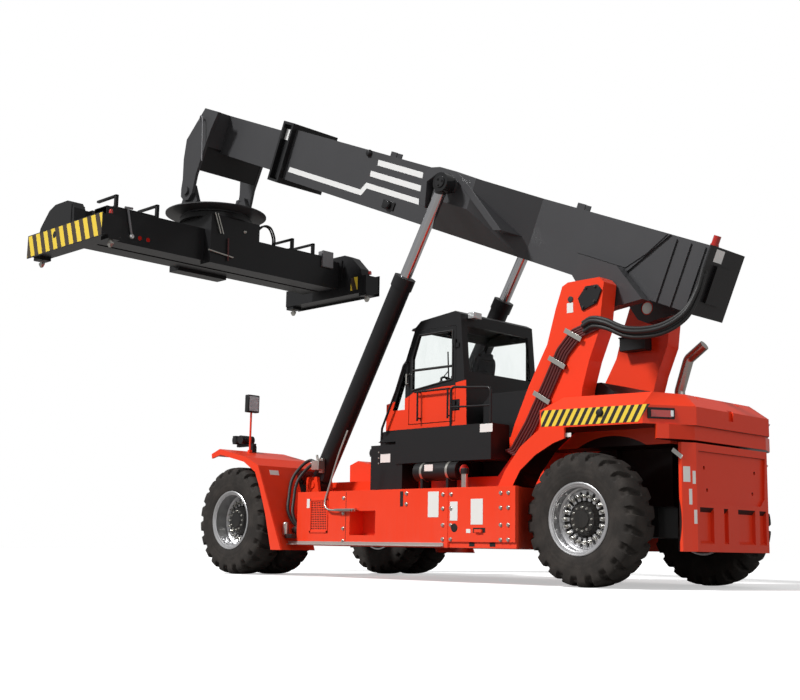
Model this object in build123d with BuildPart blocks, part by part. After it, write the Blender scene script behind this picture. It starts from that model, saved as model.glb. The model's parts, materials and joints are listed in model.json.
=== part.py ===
"""Reach stacker: a rough-terrain-tyred container handler with a telescopic boom and spreader.

Millimetres.  +X points forward over the spreader, +Y to the driver's left, +Z up.
The origin lies on the ground under the middle of the whole machine's length.
"""
import os
from math import cos, radians, sin

from build123d import *

os.makedirs("parts", exist_ok=True)

# ---------------------------------------------------------------- running gear
front_axle_x = 1240
wheelbase = 6100
axle_height = 798
tyre_radius = axle_height
lug_height = 42
lug_count = 21
tyre_width = 500
rim_radius = 400
rim_wall = 24
dual_spacing = 600
front_track_outer = 2090
rear_tyre_centre_y = 1370
kingpin_y = 1110
kingpin_radius = 70
hub_radius = 235

# ---------------------------------------------------------------- chassis
ground_clearance = 440
girder_inner_y = 420
girder_outer_y = 820
girder_top = 1400
girder_bottom = 620
girder_front_bottom = 1130
rear_deck_bottom = 1700
rear_deck_top = 1900
spine_half_width = 330
skirt_outer_y = 1800
skirt_top = 1200
plate = 20

# ---------------------------------------------------------------- boom and its pivot
boom_angle = 23.0
pivot_from_rear_axle = 344
pivot_height = 3692
pivot_radius = 95
tower_inner_y = 640
tower_outer_y = 915
boom_bottom = 130
boom_depth = 880
boom_half_width = 420
boom_wall = 20
boom_rear = -1180
boom_front = 7480
collar_length = 300
collar_rim = 90
inner_boom_gap = 60
inner_boom_wall = 18
inner_boom_rear = -900
inner_boom_front = 9650
slide_gap = 0.3

# ---------------------------------------------------------------- lift cylinders
cylinder_y = 1110
cylinder_base_from_front_axle = 910
cylinder_base_height = 1350
rod_eye_along = 2884
rod_eye_up = 816
barrel_radius = 148
rod_radius = 85
barrel_length = 3440
bore_foot = 240
rod_foot = 1440
eye_width = 180
eye_radius = 140
pin_radius = 62

# ---------------------------------------------------------------- spreader
tilt_pin_along = 9839
tilt_pin_up = -637
tilt_pin_radius = 80
head_leg_y = 670
head_leg_thickness = 60
yoke_radius = 950
slew_radius = 620
spreader_drop = 1580
corner_x = 1129.5
corner_y = 2926.5
frame_tube_height = 600
frame_tube_width = 400
frame_top_over_pads = 800
end_beam_half_width = 130
end_stop_gap = 176.5
telescope_travel = 3066

# ---------------------------------------------------------------- cab
cab_half_width = 800
cab_floor = 2120
cab_wall = 50
cab_roof_height = 3770

rear_axle_x = front_axle_x - wheelbase
frame_half_length = corner_y - end_beam_half_width - end_stop_gap
pivot_x = rear_axle_x + pivot_from_rear_axle
boom_top = boom_bottom + boom_depth
boom_plane = Plane(
    origin=(pivot_x, 0, pivot_height),
    x_dir=(cos(radians(boom_angle)), 0, sin(radians(boom_angle))),
    z_dir=(0, -1, 0),
)


def block(x_faces, y_faces, z_faces, mode=Mode.ADD):
    """A rectangular block between two faces on each axis, in the machine's axes."""
    spans = [abs(b - a) for a, b in (x_faces, y_faces, z_faces)]
    middle = [(a + b) / 2 for a, b in (x_faces, y_faces, z_faces)]
    with Locations(tuple(middle)):
        Box(*spans, mode=mode)


def slab(plane, outline, thickness, both=False, mode=Mode.ADD):
    """A flat piece of the given outline, thickened along the plane's normal."""
    with BuildSketch(plane) as face:
        with BuildLine():
            Polyline(*outline, close=True)
        make_face()
    extrude(face.sketch, amount=thickness, both=both, mode=mode)


def side_plane(y):
    """A plane facing left at a given y, drawn in x and z."""
    return Plane(origin=(0, y, 0), x_dir=(1, 0, 0), z_dir=(0, -1, 0))


def boom_point(along, up, y=0.0):
    """A point of the boom, from its pivot, in the machine's axes."""
    return boom_plane.from_local_coords((along, up, -y))


def turned(plane, outline, axis, mode=Mode.ADD):
    """A solid of revolution from a half profile."""
    with BuildSketch(plane) as face:
        with BuildLine():
            Polyline(*outline, close=True)
        make_face()
    revolve(face.sketch, axis=axis, mode=mode)


def axle_plane(x):
    """Half profiles of wheels: first coordinate along y, second the radius."""
    return Plane(origin=(x, 0, axle_height), x_dir=(0, 1, 0), z_dir=(1, 0, 0))


def axle_axis(x):
    return Axis((x, 0, axle_height), (0, 1, 0))


def rod_between(start, end, radius, mode=Mode.ADD):
    """A round bar between two points."""
    start, end = Vector(*start), Vector(*end)
    with BuildSketch(Plane(origin=start, z_dir=end - start)) as face:
        Circle(radius)
    extrude(face.sketch, amount=(end - start).length, mode=mode)


def bent_tube(points, radius, bend):
    """A pipe along straight runs joined by arcs."""
    with BuildLine() as route:
        FilletPolyline(*points, radius=bend)
    with BuildSketch(Plane(origin=route.line @ 0, z_dir=route.line % 0)) as face:
        Circle(radius)
    sweep(face.sketch, path=route.line)


def save(builder, name):
    builder.part.label = name
    export_step(builder.part, f"parts/{name}.step")


# ================================================================ wheels
half_width = tyre_width / 2
lug_root = tyre_radius - lug_height
lug_pitch = 360 / lug_count
lug_share = 0.55
root_share = 0.7
shoulder_scale = 0.97
bead_sides = 14


def lugged_ring(offset, scale, turn):
    """The outline of one row of lugs across the axle: tips and roots by turns, a lug at the bottom."""
    corners = []
    for place in range(lug_count):
        middle = place * lug_pitch + turn - 90
        tip_half, root_half = lug_share * lug_pitch / 2, (1 - lug_share) * root_share * lug_pitch / 2
        for angle, radius in (
            (middle - tip_half, tip_radius * scale), (middle + tip_half, tip_radius * scale),
            (middle + lug_pitch / 2 - root_half, lug_root * scale), (middle + lug_pitch / 2 + root_half, lug_root * scale),
        ):
            corners.append((radius * cos(radians(angle)), radius * sin(radians(angle))))
    with BuildSketch(Plane.XZ.offset(-offset)) as section:
        with BuildLine():
            Polyline(*corners, close=True)
        make_face()
    return section.sketch


# The tyre stands on a lug of its outer row; the two rows are staggered and fall away from the crown.
tip_radius = tyre_radius / cos(radians((1 - lug_share) * lug_pitch / 2))
with BuildPart() as tyre_blank:
    for row, turn in ((1, 0), (-1, lug_pitch / 2)):
        loft(
            [lugged_ring(0, 1, turn), lugged_ring(row * half_width, shoulder_scale, turn)],
            ruled=True,
        )
    with BuildSketch(Plane.XZ.offset(-half_width - 5)) as bead:
        RegularPolygon(rim_radius, bead_sides, major_radius=False, rotation=90)
    extrude(bead.sketch, amount=tyre_width + 10, both=True, mode=Mode.SUBTRACT)


def placed_tyre(x, y):
    """A copy of the tyre on its axle."""
    add(tyre_blank.part.moved(Location((x, y, axle_height))))


outer_tyre_y = front_track_outer - half_width
inner_tyre_y = outer_tyre_y - dual_spacing
axle_end_y = inner_tyre_y - half_width - 40


def rim_outline(middle, side, dish):
    """A rim with its disc set off by `dish` towards the outside of the wheel."""
    edge = half_width * 0.86
    inner = rim_radius - rim_wall
    disc = middle + side * dish
    points = [
        (middle - side * edge, rim_radius - slide_gap),
        (middle + side * edge, rim_radius - slide_gap),
        (middle + side * edge, inner),
        (disc + side * plate, inner),
        (disc + side * plate, 0),
        (disc, 0),
        (disc, inner),
        (middle - side * edge, inner),
    ]
    return points


for name, side in (("left", 1), ("right", -1)):
    with BuildPart() as front_tyres:
        for middle in (outer_tyre_y, inner_tyre_y):
            placed_tyre(front_axle_x, side * middle)
    save(front_tyres, f"front_tyres_{name}")

    with BuildPart() as front_rims:
        for middle, dish in ((outer_tyre_y, -120), (inner_tyre_y, 120)):
            turned(axle_plane(front_axle_x), rim_outline(side * middle, side, dish), axle_axis(front_axle_x))
        hub_inner, hub_outer = side * (axle_end_y + slide_gap), side * (outer_tyre_y + 60)
        turned(
            axle_plane(front_axle_x),
            [
                (hub_inner, 0),
                (hub_inner, hub_radius),
                (side * (outer_tyre_y - 40), hub_radius),
                (side * (outer_tyre_y - 40), hub_radius - 40),
                (hub_outer, hub_radius - 60),
                (hub_outer, 0),
            ],
            axle_axis(front_axle_x),
        )
    save(front_rims, f"front_rims_{name}")

    with BuildPart() as rear_tyre:
        placed_tyre(rear_axle_x, side * rear_tyre_centre_y)
    save(rear_tyre, f"rear_tyre_{name}")

    with BuildPart() as rear_rim:
        dish = 60
        turned(
            axle_plane(rear_axle_x),
            rim_outline(side * rear_tyre_centre_y, side, dish),
            axle_axis(rear_axle_x),
        )
        hub_inner = side * (rear_tyre_centre_y + dish - 50)
        hub_outer = side * (rear_tyre_centre_y + dish + 110)
        turned(
            axle_plane(rear_axle_x),
            [(hub_inner, 0), (hub_inner, hub_radius - 40), (hub_outer, hub_radius - 70), (hub_outer, 0)],
            axle_axis(rear_axle_x),
        )
    save(rear_rim, f"rear_rim_{name}")

    # The knuckle: an upright pin between the axle's jaws, and the stub that carries the hub.
    with BuildPart() as knuckle:
        pin_half = 190
        rod_between(
            (rear_axle_x, side * kingpin_y, axle_height - pin_half),
            (rear_axle_x, side * kingpin_y, axle_height + pin_half),
            kingpin_radius,
        )
        rod_between(
            (rear_axle_x, side * (kingpin_y - 40), axle_height),
            (rear_axle_x, hub_inner - side * slide_gap, axle_height),
            115,
        )
        block(
            (rear_axle_x - 110, rear_axle_x + 110),
            (side * (kingpin_y - 95), side * (kingpin_y + 95)),
            (axle_height - 120, axle_height + 120),
        )
    save(knuckle, f"knuckle_{name}")

# ================================================================ axles
with BuildPart() as front_axle:
    with BuildSketch(axle_plane(front_axle_x)) as housing:
        with BuildLine():
            Polyline(
                (0, 0), (0, 330), (230, 290), (380, 210), (axle_end_y - 150, 210),
                (axle_end_y - 120, 260), (axle_end_y, 260), (axle_end_y, 0), close=True,
            )
        make_face()
        mirror(about=Plane.YZ)
    revolve(housing.sketch, axis=axle_axis(front_axle_x))
    for side in (1, -1):
        block(
            (front_axle_x - 190, front_axle_x + 190),
            (side * (girder_inner_y + 40), side * (girder_outer_y - 40)),
            (axle_height, girder_front_bottom),
        )
save(front_axle, "front_axle")

with BuildPart() as steer_axle:
    beam_half_depth = 170
    jaw_inner = 120 + 3
    block(
        (rear_axle_x - beam_half_depth, rear_axle_x + beam_half_depth),
        (-(kingpin_y - 190), kingpin_y - 190),
        (axle_height - 190, axle_height + 190),
    )
    block((rear_axle_x - 260, rear_axle_x + 260), (-300, 300), (axle_height - 190, axle_height + 190))
    for side in (1, -1):
        for up in (1, -1):
            block(
                (rear_axle_x - 120, rear_axle_x + 120),
                (side * (kingpin_y - 190), side * (kingpin_y + 90)),
                (axle_height + up * jaw_inner, axle_height + up * 190),
            )
            rod_between(
                (rear_axle_x, side * kingpin_y, axle_height + up * (jaw_inner - 10)),
                (rear_axle_x, side * kingpin_y, axle_height + up * 192),
                kingpin_radius + slide_gap,
                mode=Mode.SUBTRACT,
            )
save(steer_axle, "steer_axle")

# ================================================================ chassis
girder_outline = [
    (front_axle_x + 560, girder_front_bottom), (front_axle_x + 560, girder_top),
    (rear_axle_x + 1900, girder_top), (rear_axle_x + 1620, rear_deck_bottom),
    (rear_axle_x + 1120, rear_deck_bottom), (rear_axle_x + 1120, 900),
    (rear_axle_x + 1400, girder_bottom), (front_axle_x - 700, girder_bottom),
    (front_axle_x - 480, girder_front_bottom),
]
engine_half_width = girder_inner_y - plate
deck_rear = rear_axle_x - 850
engine_bay_rear = rear_axle_x + 1140
with BuildPart() as chassis_frame:
    for side in (1, -1):
        slab(
            side_plane(side * (girder_inner_y + girder_outer_y) / 2),
            girder_outline,
            (girder_outer_y - girder_inner_y) / 2,
            both=True,
        )
        block(
            (rear_axle_x + 1620, deck_rear),
            (side * girder_inner_y, side * tower_outer_y),
            (rear_deck_bottom, rear_deck_top),
        )
    # Cross members: x of the front and rear face, then bottom and top.
    for front, rear, bottom, top in ((560, 380, girder_front_bottom, girder_top), (-600, -1000, 760, 1300), (-2300, -2500, 760, 1200)):
        block(
            (front_axle_x + front, front_axle_x + rear),
            (-girder_inner_y, girder_inner_y),
            (bottom, top),
        )
    block((engine_bay_rear, deck_rear), (-girder_inner_y, girder_inner_y), (rear_deck_bottom, rear_deck_top))
    block((engine_bay_rear, rear_axle_x + 260), (-girder_inner_y, girder_inner_y), (girder_bottom, rear_deck_bottom))
    block((rear_axle_x + 260, rear_axle_x - 500), (-spine_half_width, spine_half_width), (axle_height + 190, rear_deck_bottom))
    # Foot brackets of the lift cylinders, outboard of the girders.
    base_x = front_axle_x - cylinder_base_from_front_axle
    for side in (1, -1):
        cheek = [
            (base_x + 130, girder_top), (base_x + 110, cylinder_base_height + 110),
            (base_x - 110, cylinder_base_height + 110), (base_x - 200, 1000), (base_x + 90, 900),
        ]
        for middle in (cylinder_y - eye_width / 2 - 35, cylinder_y + eye_width / 2 + 35):
            slab(side_plane(side * middle), cheek, 25, both=True)
        block((base_x - 150, base_x + 90), (side * girder_outer_y, side * (cylinder_y + eye_width / 2 + 60)), (950, 1080))
        rod_between(
            (base_x, side * (cylinder_y - eye_width / 2 - 60), cylinder_base_height),
            (base_x, side * (cylinder_y + eye_width / 2 + 75), cylinder_base_height),
            pin_radius,
        )
save(chassis_frame, "chassis_frame")

# A tower's side: along and up from the boom's pivot, with its foot on the deck.
deck_drop = rear_deck_top - pivot_height
tower_outline = [
    (1256, deck_drop), (1196, deck_drop + 160), (946, -1122), (646, -612), (506, -162), (396, 128),
    (306, 170), (-194, 170), (-259, 98), (-184, -512), (-24, -882), (86, -1232), (156, deck_drop),
]
with BuildPart() as boom_towers:
    for side in (1, -1):
        slab(
            side_plane(side * (tower_inner_y + tower_outer_y) / 2),
            [(pivot_x + along, pivot_height + up) for along, up in tower_outline],
            (tower_outer_y - tower_inner_y) / 2,
            both=True,
        )
    rod_between(
        (pivot_x, -tower_outer_y - 5, pivot_height), (pivot_x, tower_outer_y + 5, pivot_height),
        pivot_radius + slide_gap, mode=Mode.SUBTRACT,
    )
    for side in (1, -1):
        rod_between(
            (pivot_x, side * (tower_inner_y - 190), pivot_height),
            (pivot_x, side * (tower_outer_y + 15), pivot_height),
            pivot_radius,
        )
save(boom_towers, "boom_towers")

engine_front, engine_rear = rear_axle_x + 2300, rear_axle_x + 1160
engine_rail_height = 1150
engine_top = 1960
with BuildPart() as engine:
    block((engine_front, engine_rear), (-engine_half_width, engine_half_width), (770, engine_top))
    for x in (engine_front - 100, engine_front - 900):
        block(
            (x, x - 150), (-girder_inner_y, girder_inner_y), (engine_rail_height - 150, engine_rail_height),
        )
save(engine, "engine")

# The engine cover's side, and the same line set in by the sheet's thickness.
cover_top = 2560
cover_front, cover_rear = rear_axle_x + 2340, rear_axle_x + 150
cover_half_width = tower_inner_y - 20
cover_side = [
    (cover_front, girder_top), (rear_axle_x + 1900, girder_top), (rear_axle_x + 1620, rear_deck_bottom),
    (rear_axle_x + 1620, rear_deck_top), (cover_rear, rear_deck_top), (cover_rear, cover_top - 140),
    (cover_rear + 200, cover_top), (cover_front - 140, cover_top), (cover_front, cover_top - 120),
]
with BuildPart() as engine_cover:
    slab(side_plane(0), cover_side, cover_half_width, both=True)
    with BuildSketch(side_plane(0)) as cover_inside:
        with BuildLine():
            Polyline(*cover_side, close=True)
        make_face()
        offset(amount=-plate, kind=Kind.INTERSECTION)
    extrude(cover_inside.sketch, amount=cover_half_width - plate, both=True, mode=Mode.SUBTRACT)
    block(
        (cover_front + 60, engine_rear - 10), (-girder_inner_y + 5, girder_inner_y - 5),
        (girder_top - plate, engine_top), mode=Mode.SUBTRACT,
    )
save(engine_cover, "engine_cover")

# The hood is a wide deck over the rear wheels with a raised middle, cut back at its rear corners.
hood_rear = rear_axle_x - 1170
hood_front = rear_axle_x + 570
hood_corner_x = rear_axle_x - 800
hood_front_y, hood_corner_y, hood_rear_y = 1600, 1420, 860
hood_shoulder = rear_deck_top + 220
hood_crown = 2290
crown_inset = 210
tower_notch_x = rear_axle_x + 60


def hood_plan(inset):
    """Half of the hood's outline from above, from its front edge to its rear, then mirrored."""
    half = [
        (hood_front - inset, hood_front_y - inset), (hood_corner_x, hood_corner_y - inset),
        (hood_rear + inset, hood_rear_y - inset / 2),
    ]
    return half + [(x, -y) for x, y in reversed(half)]


with BuildPart() as hood:
    slab(Plane.XY.offset(rear_deck_top), hood_plan(0), hood_shoulder - rear_deck_top)
    crown = []
    for height, inset in ((hood_shoulder, 0), (hood_crown, crown_inset)):
        with BuildSketch(Plane.XY.offset(height)) as ring:
            with BuildLine():
                Polyline(*hood_plan(inset), close=True)
            make_face()
        crown.append(ring.sketch)
    loft(crown, ruled=True)
    block(
        (tower_notch_x, hood_front + 10), (-tower_outer_y - 10, tower_outer_y + 10),
        (rear_deck_top - 1, hood_crown + 10), mode=Mode.SUBTRACT,
    )
    # A rear valance hangs behind the deck and flares towards the wheels.
    slab(
        Plane.XY.offset(rear_deck_bottom + 30),
        [
            (deck_rear - 2, 1250), (rear_axle_x - 910, 1300), (rear_axle_x - 1000, 1180), (hood_rear + 40, hood_rear_y - 20),
            (hood_rear + 40, 20 - hood_rear_y), (rear_axle_x - 1000, -1180), (rear_axle_x - 910, -1300), (deck_rear - 2, -1250),
        ],
        rear_deck_top - rear_deck_bottom - 30,
    )
    # Two shallow troughs across the crown and a grip slot on the rear face.
    for y_faces in ((hood_rear_y - 330, hood_rear_y - 300), (-400, -370)):
        block(
            (hood_rear - 5, hood_rear + 420), y_faces, (hood_crown - 45, hood_crown + 5), mode=Mode.SUBTRACT,
        )
    block((hood_rear - 5, hood_rear + 30), (20, 130), (2010, 2160), mode=Mode.SUBTRACT)
save(hood, "hood")

# Rear lamps sit on the hood's cut-back corners.
corner_from, corner_to = (hood_corner_x, hood_corner_y), (hood_rear, hood_rear_y)
lamp_proud = 18
with BuildPart() as hood_lamps:
    for side in (1, -1):
        along = Vector(corner_to[0] - corner_from[0], side * (corner_to[1] - corner_from[1]), 0).normalized()
        face = Plane(
            origin=(corner_from[0] + along.X * 230, side * corner_from[1] + along.Y * 230, rear_deck_top + 120),
            x_dir=along, z_dir=(side * along.Y, -side * along.X, 0),
        )
        with BuildSketch(face) as lens:
            Rectangle(260, 80)
        extrude(lens.sketch, amount=lamp_proud if face.z_dir.X < 0 else -lamp_proud)
save(hood_lamps, "hood_lamps")

exhaust_radius = 72
exhaust_y = -1100
with BuildPart() as exhaust_stack:
    foot_x = hood_front - 300
    bent_tube(
        [
            (foot_x, exhaust_y, hood_crown), (foot_x, exhaust_y, hood_crown + 330),
            (foot_x - 150, exhaust_y, hood_crown + 760), (foot_x - 400, exhaust_y, hood_crown + 930),
        ],
        exhaust_radius, 110,
    )
    rod_between((foot_x, exhaust_y, hood_crown), (foot_x, exhaust_y, hood_crown + 150), exhaust_radius + 30)
save(exhaust_stack, "exhaust_stack")

# Hoses climb the left tower's outer face side by side, held by two clamps.
# Their middle line, along and up from the boom's pivot.
hose_line = [(1240, -2010), (1156, -2002), (906, -1660), (606, -1150), (376, -740), (150, -520), (-160, -440)]
hose_radius, hose_pitch, hose_count = 19, 44, 5
hose_y = tower_outer_y + hose_radius + 0.5
with BuildPart() as tower_hoses:
    for place in range(hose_count):
        shift = (place - (hose_count - 1) / 2) * hose_pitch
        bent_tube(
            [(pivot_x + along + shift * 0.86, hose_y, pivot_height + up + shift * 0.5) for along, up in hose_line],
            hose_radius, 90,
        )
    for along, up in ((700, -1310), (450, -872)):
        clamp = Plane(
            origin=(pivot_x + along, tower_outer_y, pivot_height + up), x_dir=(0.86, 0, 0.5), z_dir=(0, 1, 0),
        )
        with BuildSketch(clamp) as strap:
            Rectangle(hose_count * hose_pitch + 50, 55)
        extrude(strap.sketch, amount=2 * hose_radius + 12)
save(tower_hoses, "tower_hoses")

# The counterweight closes the rear between the wheels: a panel with a raised rim over upright ribs.
wheel_swing = 1010
weight_rear = hood_rear + 30
weight_half_width, weight_leg_y = 835, 1000
panel_bottom, panel_top = 1010, 1610
panel_depth = 30
with BuildPart() as counterweight:
    half = [(rear_axle_x - 500, weight_leg_y), (weight_rear + 95, weight_leg_y), (weight_rear, weight_half_width)]
    slab(
        Plane.XY.offset(ground_clearance), half + [(x, -y) for x, y in reversed(half)],
        rear_deck_bottom - ground_clearance,
    )
    for side in (1, -1):
        with BuildSketch(Plane.XY.offset(ground_clearance - 10)) as arch:
            with Locations((rear_axle_x, side * kingpin_y)):
                Circle(wheel_swing)
        extrude(arch.sketch, amount=rear_deck_bottom, mode=Mode.SUBTRACT)
    rim = Plane(origin=(weight_rear - 5, 0, 0), x_dir=(0, 1, 0), z_dir=(1, 0, 0))
    slab(
        rim,
        [
            (-weight_half_width + 50, panel_top), (weight_half_width - 50, panel_top),
            (weight_half_width - 90, panel_bottom + 90), (weight_half_width - 190, panel_bottom),
            (-weight_half_width + 190, panel_bottom), (-weight_half_width + 90, panel_bottom + 90),
        ],
        panel_depth + 5, mode=Mode.SUBTRACT,
    )
    # Below the panel the weight is set back between its ribs: y of each hollow's two sides.
    for y_faces in ((weight_half_width - 60, 470), (240, 140), (-90, -500), (-610, 60 - weight_half_width)):
        slab(
            Plane(origin=(0, (y_faces[0] + y_faces[1]) / 2, 0), x_dir=(1, 0, 0), z_dir=(0, -1, 0)),
            [
                (weight_rear - 5, ground_clearance + 90), (weight_rear + 45, ground_clearance + 130),
                (weight_rear + 45, panel_bottom - 110), (weight_rear - 5, panel_bottom - 50),
            ],
            abs(y_faces[0] - y_faces[1]) / 2, both=True, mode=Mode.SUBTRACT,
        )
    for y, z in ((620, 1420), (560, 1160), (-560, 1420), (-500, 1160)):
        rod_between((weight_rear, y, z), (weight_rear + 90, y, z), 22, mode=Mode.SUBTRACT)
save(counterweight, "counterweight")

# Side boxes fill the space between front fenders and rear wheels; a round cut clears the steered tyres.
skirt_front = front_axle_x - 1230
skirt_rear = rear_axle_x + 790
with BuildPart() as side_boxes:
    for side in (1, -1):
        block(
            (skirt_front, skirt_rear), (side * girder_outer_y, side * skirt_outer_y), (ground_clearance, skirt_top),
        )
        with BuildSketch(Plane.XY.offset(ground_clearance - 10)) as arch:
            with Locations((rear_axle_x, side * kingpin_y)):
                Circle(wheel_swing)
        extrude(arch.sketch, amount=skirt_top, mode=Mode.SUBTRACT)
        block(
            (skirt_front - 1120, skirt_front - 1630), (side * (skirt_outer_y - 260), side * (skirt_outer_y + 10)),
            (590, 920), mode=Mode.SUBTRACT,
        )
        # A long joint and a shallow lower lip.
        block(
            (skirt_front - 2965, skirt_front - 2973), (side * (skirt_outer_y - 8), side * (skirt_outer_y + 10)),
            (ground_clearance - 1, skirt_top + 1), mode=Mode.SUBTRACT,
        )
        block(
            (skirt_rear - 10, skirt_front - 2973), (side * (skirt_outer_y - 25), side * (skirt_outer_y + 10)),
            (ground_clearance - 1, ground_clearance + 75), mode=Mode.SUBTRACT,
        )
save(side_boxes, "side_boxes")

# Front halves of the rear mudguards: a bent sheet from the side box up to the hood, and a side web.
guard_sheet = 25
guard_outer_y = hood_front_y
guard_line = [
    (hood_front, rear_deck_top), (rear_axle_x + 880, 1690), (rear_axle_x + 1120, 1410),
    (rear_axle_x + 1240, skirt_top),
]
guard_arch = [
    (rear_axle_x + 1010, skirt_top), (rear_axle_x + 880, 1400), (rear_axle_x + 640, 1580),
    (rear_axle_x + 370, 1710), (rear_axle_x + 200, 1760), (rear_axle_x + 200, rear_deck_top),
]
with BuildPart() as rear_mudguards:
    for side in (1, -1):
        slab(
            side_plane(side * (tower_outer_y + 10 + guard_outer_y) / 2),
            guard_line + [(x - guard_sheet * 1.3, z - guard_sheet * 0.6 if z < rear_deck_top and z > skirt_top else z) for x, z in reversed(guard_line)],
            (guard_outer_y - tower_outer_y - 10) / 2,
            both=True,
        )
        slab(side_plane(side * (guard_outer_y - 15)), guard_line + guard_arch, 15, both=True)
save(rear_mudguards, "rear_mudguards")

fender_top = [(510, 1810), (310, 1880), (-350, 1730), (-600, 1600)]
fender_sheet = fender_top + [(x, z - 30) for x, z in reversed(fender_top)]
with BuildPart() as front_fenders:
    for side in (1, -1):
        slab(
            side_plane(side * (girder_outer_y + front_track_outer) / 2),
            [(front_axle_x + x, z) for x, z in fender_sheet],
            (front_track_outer - girder_outer_y) / 2,
            both=True,
        )
        slab(
            side_plane(side * (1330 + front_track_outer) / 2),
            [(front_axle_x + x, z) for x, z in ((-560, 1605), (-600, 1600), (-1100, 370), (-1060, 370))],
            (front_track_outer - 1330) / 2,
            both=True,
        )
        slab(
            side_plane(side * (front_track_outer - 15)),
            [(front_axle_x + x, z) for x, z in (
                (510, 1810), (310, 1880), (-350, 1730), (-640, 1600), (-1230, 370), (-1000, 370),
                (-800, 1060), (-580, 1500), (-300, 1660), (280, 1790), (500, 1740),
            )],
            15,
            both=True,
        )
        slab(
            side_plane(side * (girder_outer_y + 12)),
            [(front_axle_x + x, z) for x, z in (
                (510, 1800), (310, 1870), (-350, 1720), (-600, 1590), (-600, 1250), (500, 1250),
            )],
            12,
            both=True,
        )
save(front_fenders, "front_fenders")


def fender_height(x):
    """Height of the front fender's top at x, measured from the front axle."""
    (x1, z1), (x2, z2) = fender_top[1:3]
    return z1 + (x - x1) * (z2 - z1) / (x2 - x1)


def on_fender(x_faces, top):
    """A side outline that stands on the front fender between two x values, up to a height."""
    front, rear = x_faces
    return [
        (front_axle_x + front, fender_height(front)), (front_axle_x + rear, fender_height(rear)),
        (front_axle_x + rear, top), (front_axle_x + front, top),
    ]


lamp_y = 1500
with BuildPart() as front_lamps:
    for side in (1, -1):
        slab(side_plane(side * lamp_y), on_fender((290, 200), 1960), 40, both=True)
        block(
            (front_axle_x + 200, front_axle_x + 620), (side * (lamp_y - 30), side * (lamp_y + 30)), (1960, 2000),
        )
        for x in (420, 560):
            rod_between(
                (front_axle_x + x, side * lamp_y - 120, 2065), (front_axle_x + x, side * lamp_y + 120, 2065), 67,
            )
        block((front_axle_x + 520, front_axle_x + 600), (side * lamp_y - 130, side * lamp_y + 130), (2000, 2130))
save(front_lamps, "front_lamps")

mirror_height = 2620
with BuildPart() as mirror_posts:
    for side in (1, -1):
        slab(side_plane(side * (lamp_y + 110)), on_fender((205, 155), 1890), 25, both=True)
        rod_between(
            (front_axle_x + 180, side * (lamp_y + 110), 1889), (front_axle_x + 180, side * (lamp_y + 110), mirror_height),
            16,
        )
        block(
            (front_axle_x + 150, front_axle_x + 200), (side * (lamp_y + 20), side * (lamp_y + 200)),
            (mirror_height - 120, mirror_height + 120),
        )
save(mirror_posts, "mirror_posts")

# ================================================================ cab
def cab_x(from_front_axle):
    return front_axle_x - from_front_axle


cab_nose, cab_back = cab_x(2010), cab_x(3620)
cab_outline = [
    (cab_nose, cab_floor), (cab_nose, 2210), (cab_x(2600), 3620), (cab_x(2700), 3700),
    (cab_x(3380), cab_roof_height), (cab_x(3480), 3720), (cab_back, cab_floor),
]
door_front, door_rear = cab_x(2480), cab_x(3400)
door_bottom, door_top = cab_floor + 70, 3560
door_gap = 6
hinge_x, hinge_y = door_rear + 8, cab_half_width + 18
hinge_radius, hinge_length = 16, 60
hinge_heights = (2420, 3300)
post_width = 90
glass_depth, glass_thickness = 18, 8


def cab_shell(outer_inset, inner_inset, half_width):
    """The cab's closed skin between two depths below its outer surface."""
    for inset, mode in ((outer_inset, Mode.ADD), (inner_inset, Mode.SUBTRACT)):
        with BuildSketch(side_plane(0)) as skin:
            with BuildLine():
                Polyline(*cab_outline, close=True)
            make_face()
            if inset > 0:
                offset(amount=-inset, kind=Kind.INTERSECTION)
        extrude(skin.sketch, amount=half_width - inset, both=True, mode=mode)


# Every window opening as a solid that passes through its wall.
with BuildPart() as windows:
    for side in (1, -1):
        slab(
            side_plane(side * cab_half_width),
            [(cab_x(2150), 2420), (cab_x(2400), 2420), (cab_x(2400), 3020)],
            cab_wall + 5, both=True,
        )
    slab(
        side_plane(-cab_half_width),
        [
            (door_front, 2700), (door_front, 3150), (door_front - 170, door_top - 40), (door_rear, door_top - 40),
            (door_rear, 2700),
        ],
        cab_wall + 5, both=True,
    )
    slab(
        side_plane(0),
        [(cab_x(1900), 2330), (cab_x(2130), 2330), (cab_x(2640), 3540), (cab_x(2400), 3640)],
        cab_half_width - post_width, both=True,
    )
    block(
        (cab_x(3700), cab_x(3400)), (120 - cab_half_width, cab_half_width - 120), (2900, 3560),
    )

with BuildPart() as cab_frame:
    cab_shell(0, cab_wall, cab_half_width)
    add(windows.part, mode=Mode.SUBTRACT)
    door_hole = [
        (door_front, door_bottom), (door_front, 3180), (door_front - 160, door_top), (door_rear, door_top),
        (door_rear, door_bottom),
    ]
    slab(side_plane(cab_half_width), door_hole, cab_wall + 5, both=True, mode=Mode.SUBTRACT)
    for z in hinge_heights:
        rod_between((hinge_x, hinge_y, z - hinge_length), (hinge_x, hinge_y, z), hinge_radius)
        block((hinge_x - 70, door_rear), (cab_half_width, hinge_y), (z - hinge_length, z))
save(cab_frame, "cab_frame")

with BuildPart() as cab_glass:
    cab_shell(glass_depth, glass_depth + glass_thickness, cab_half_width)
    add(windows.part, mode=Mode.INTERSECT)
save(cab_glass, "cab_glass")

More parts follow.
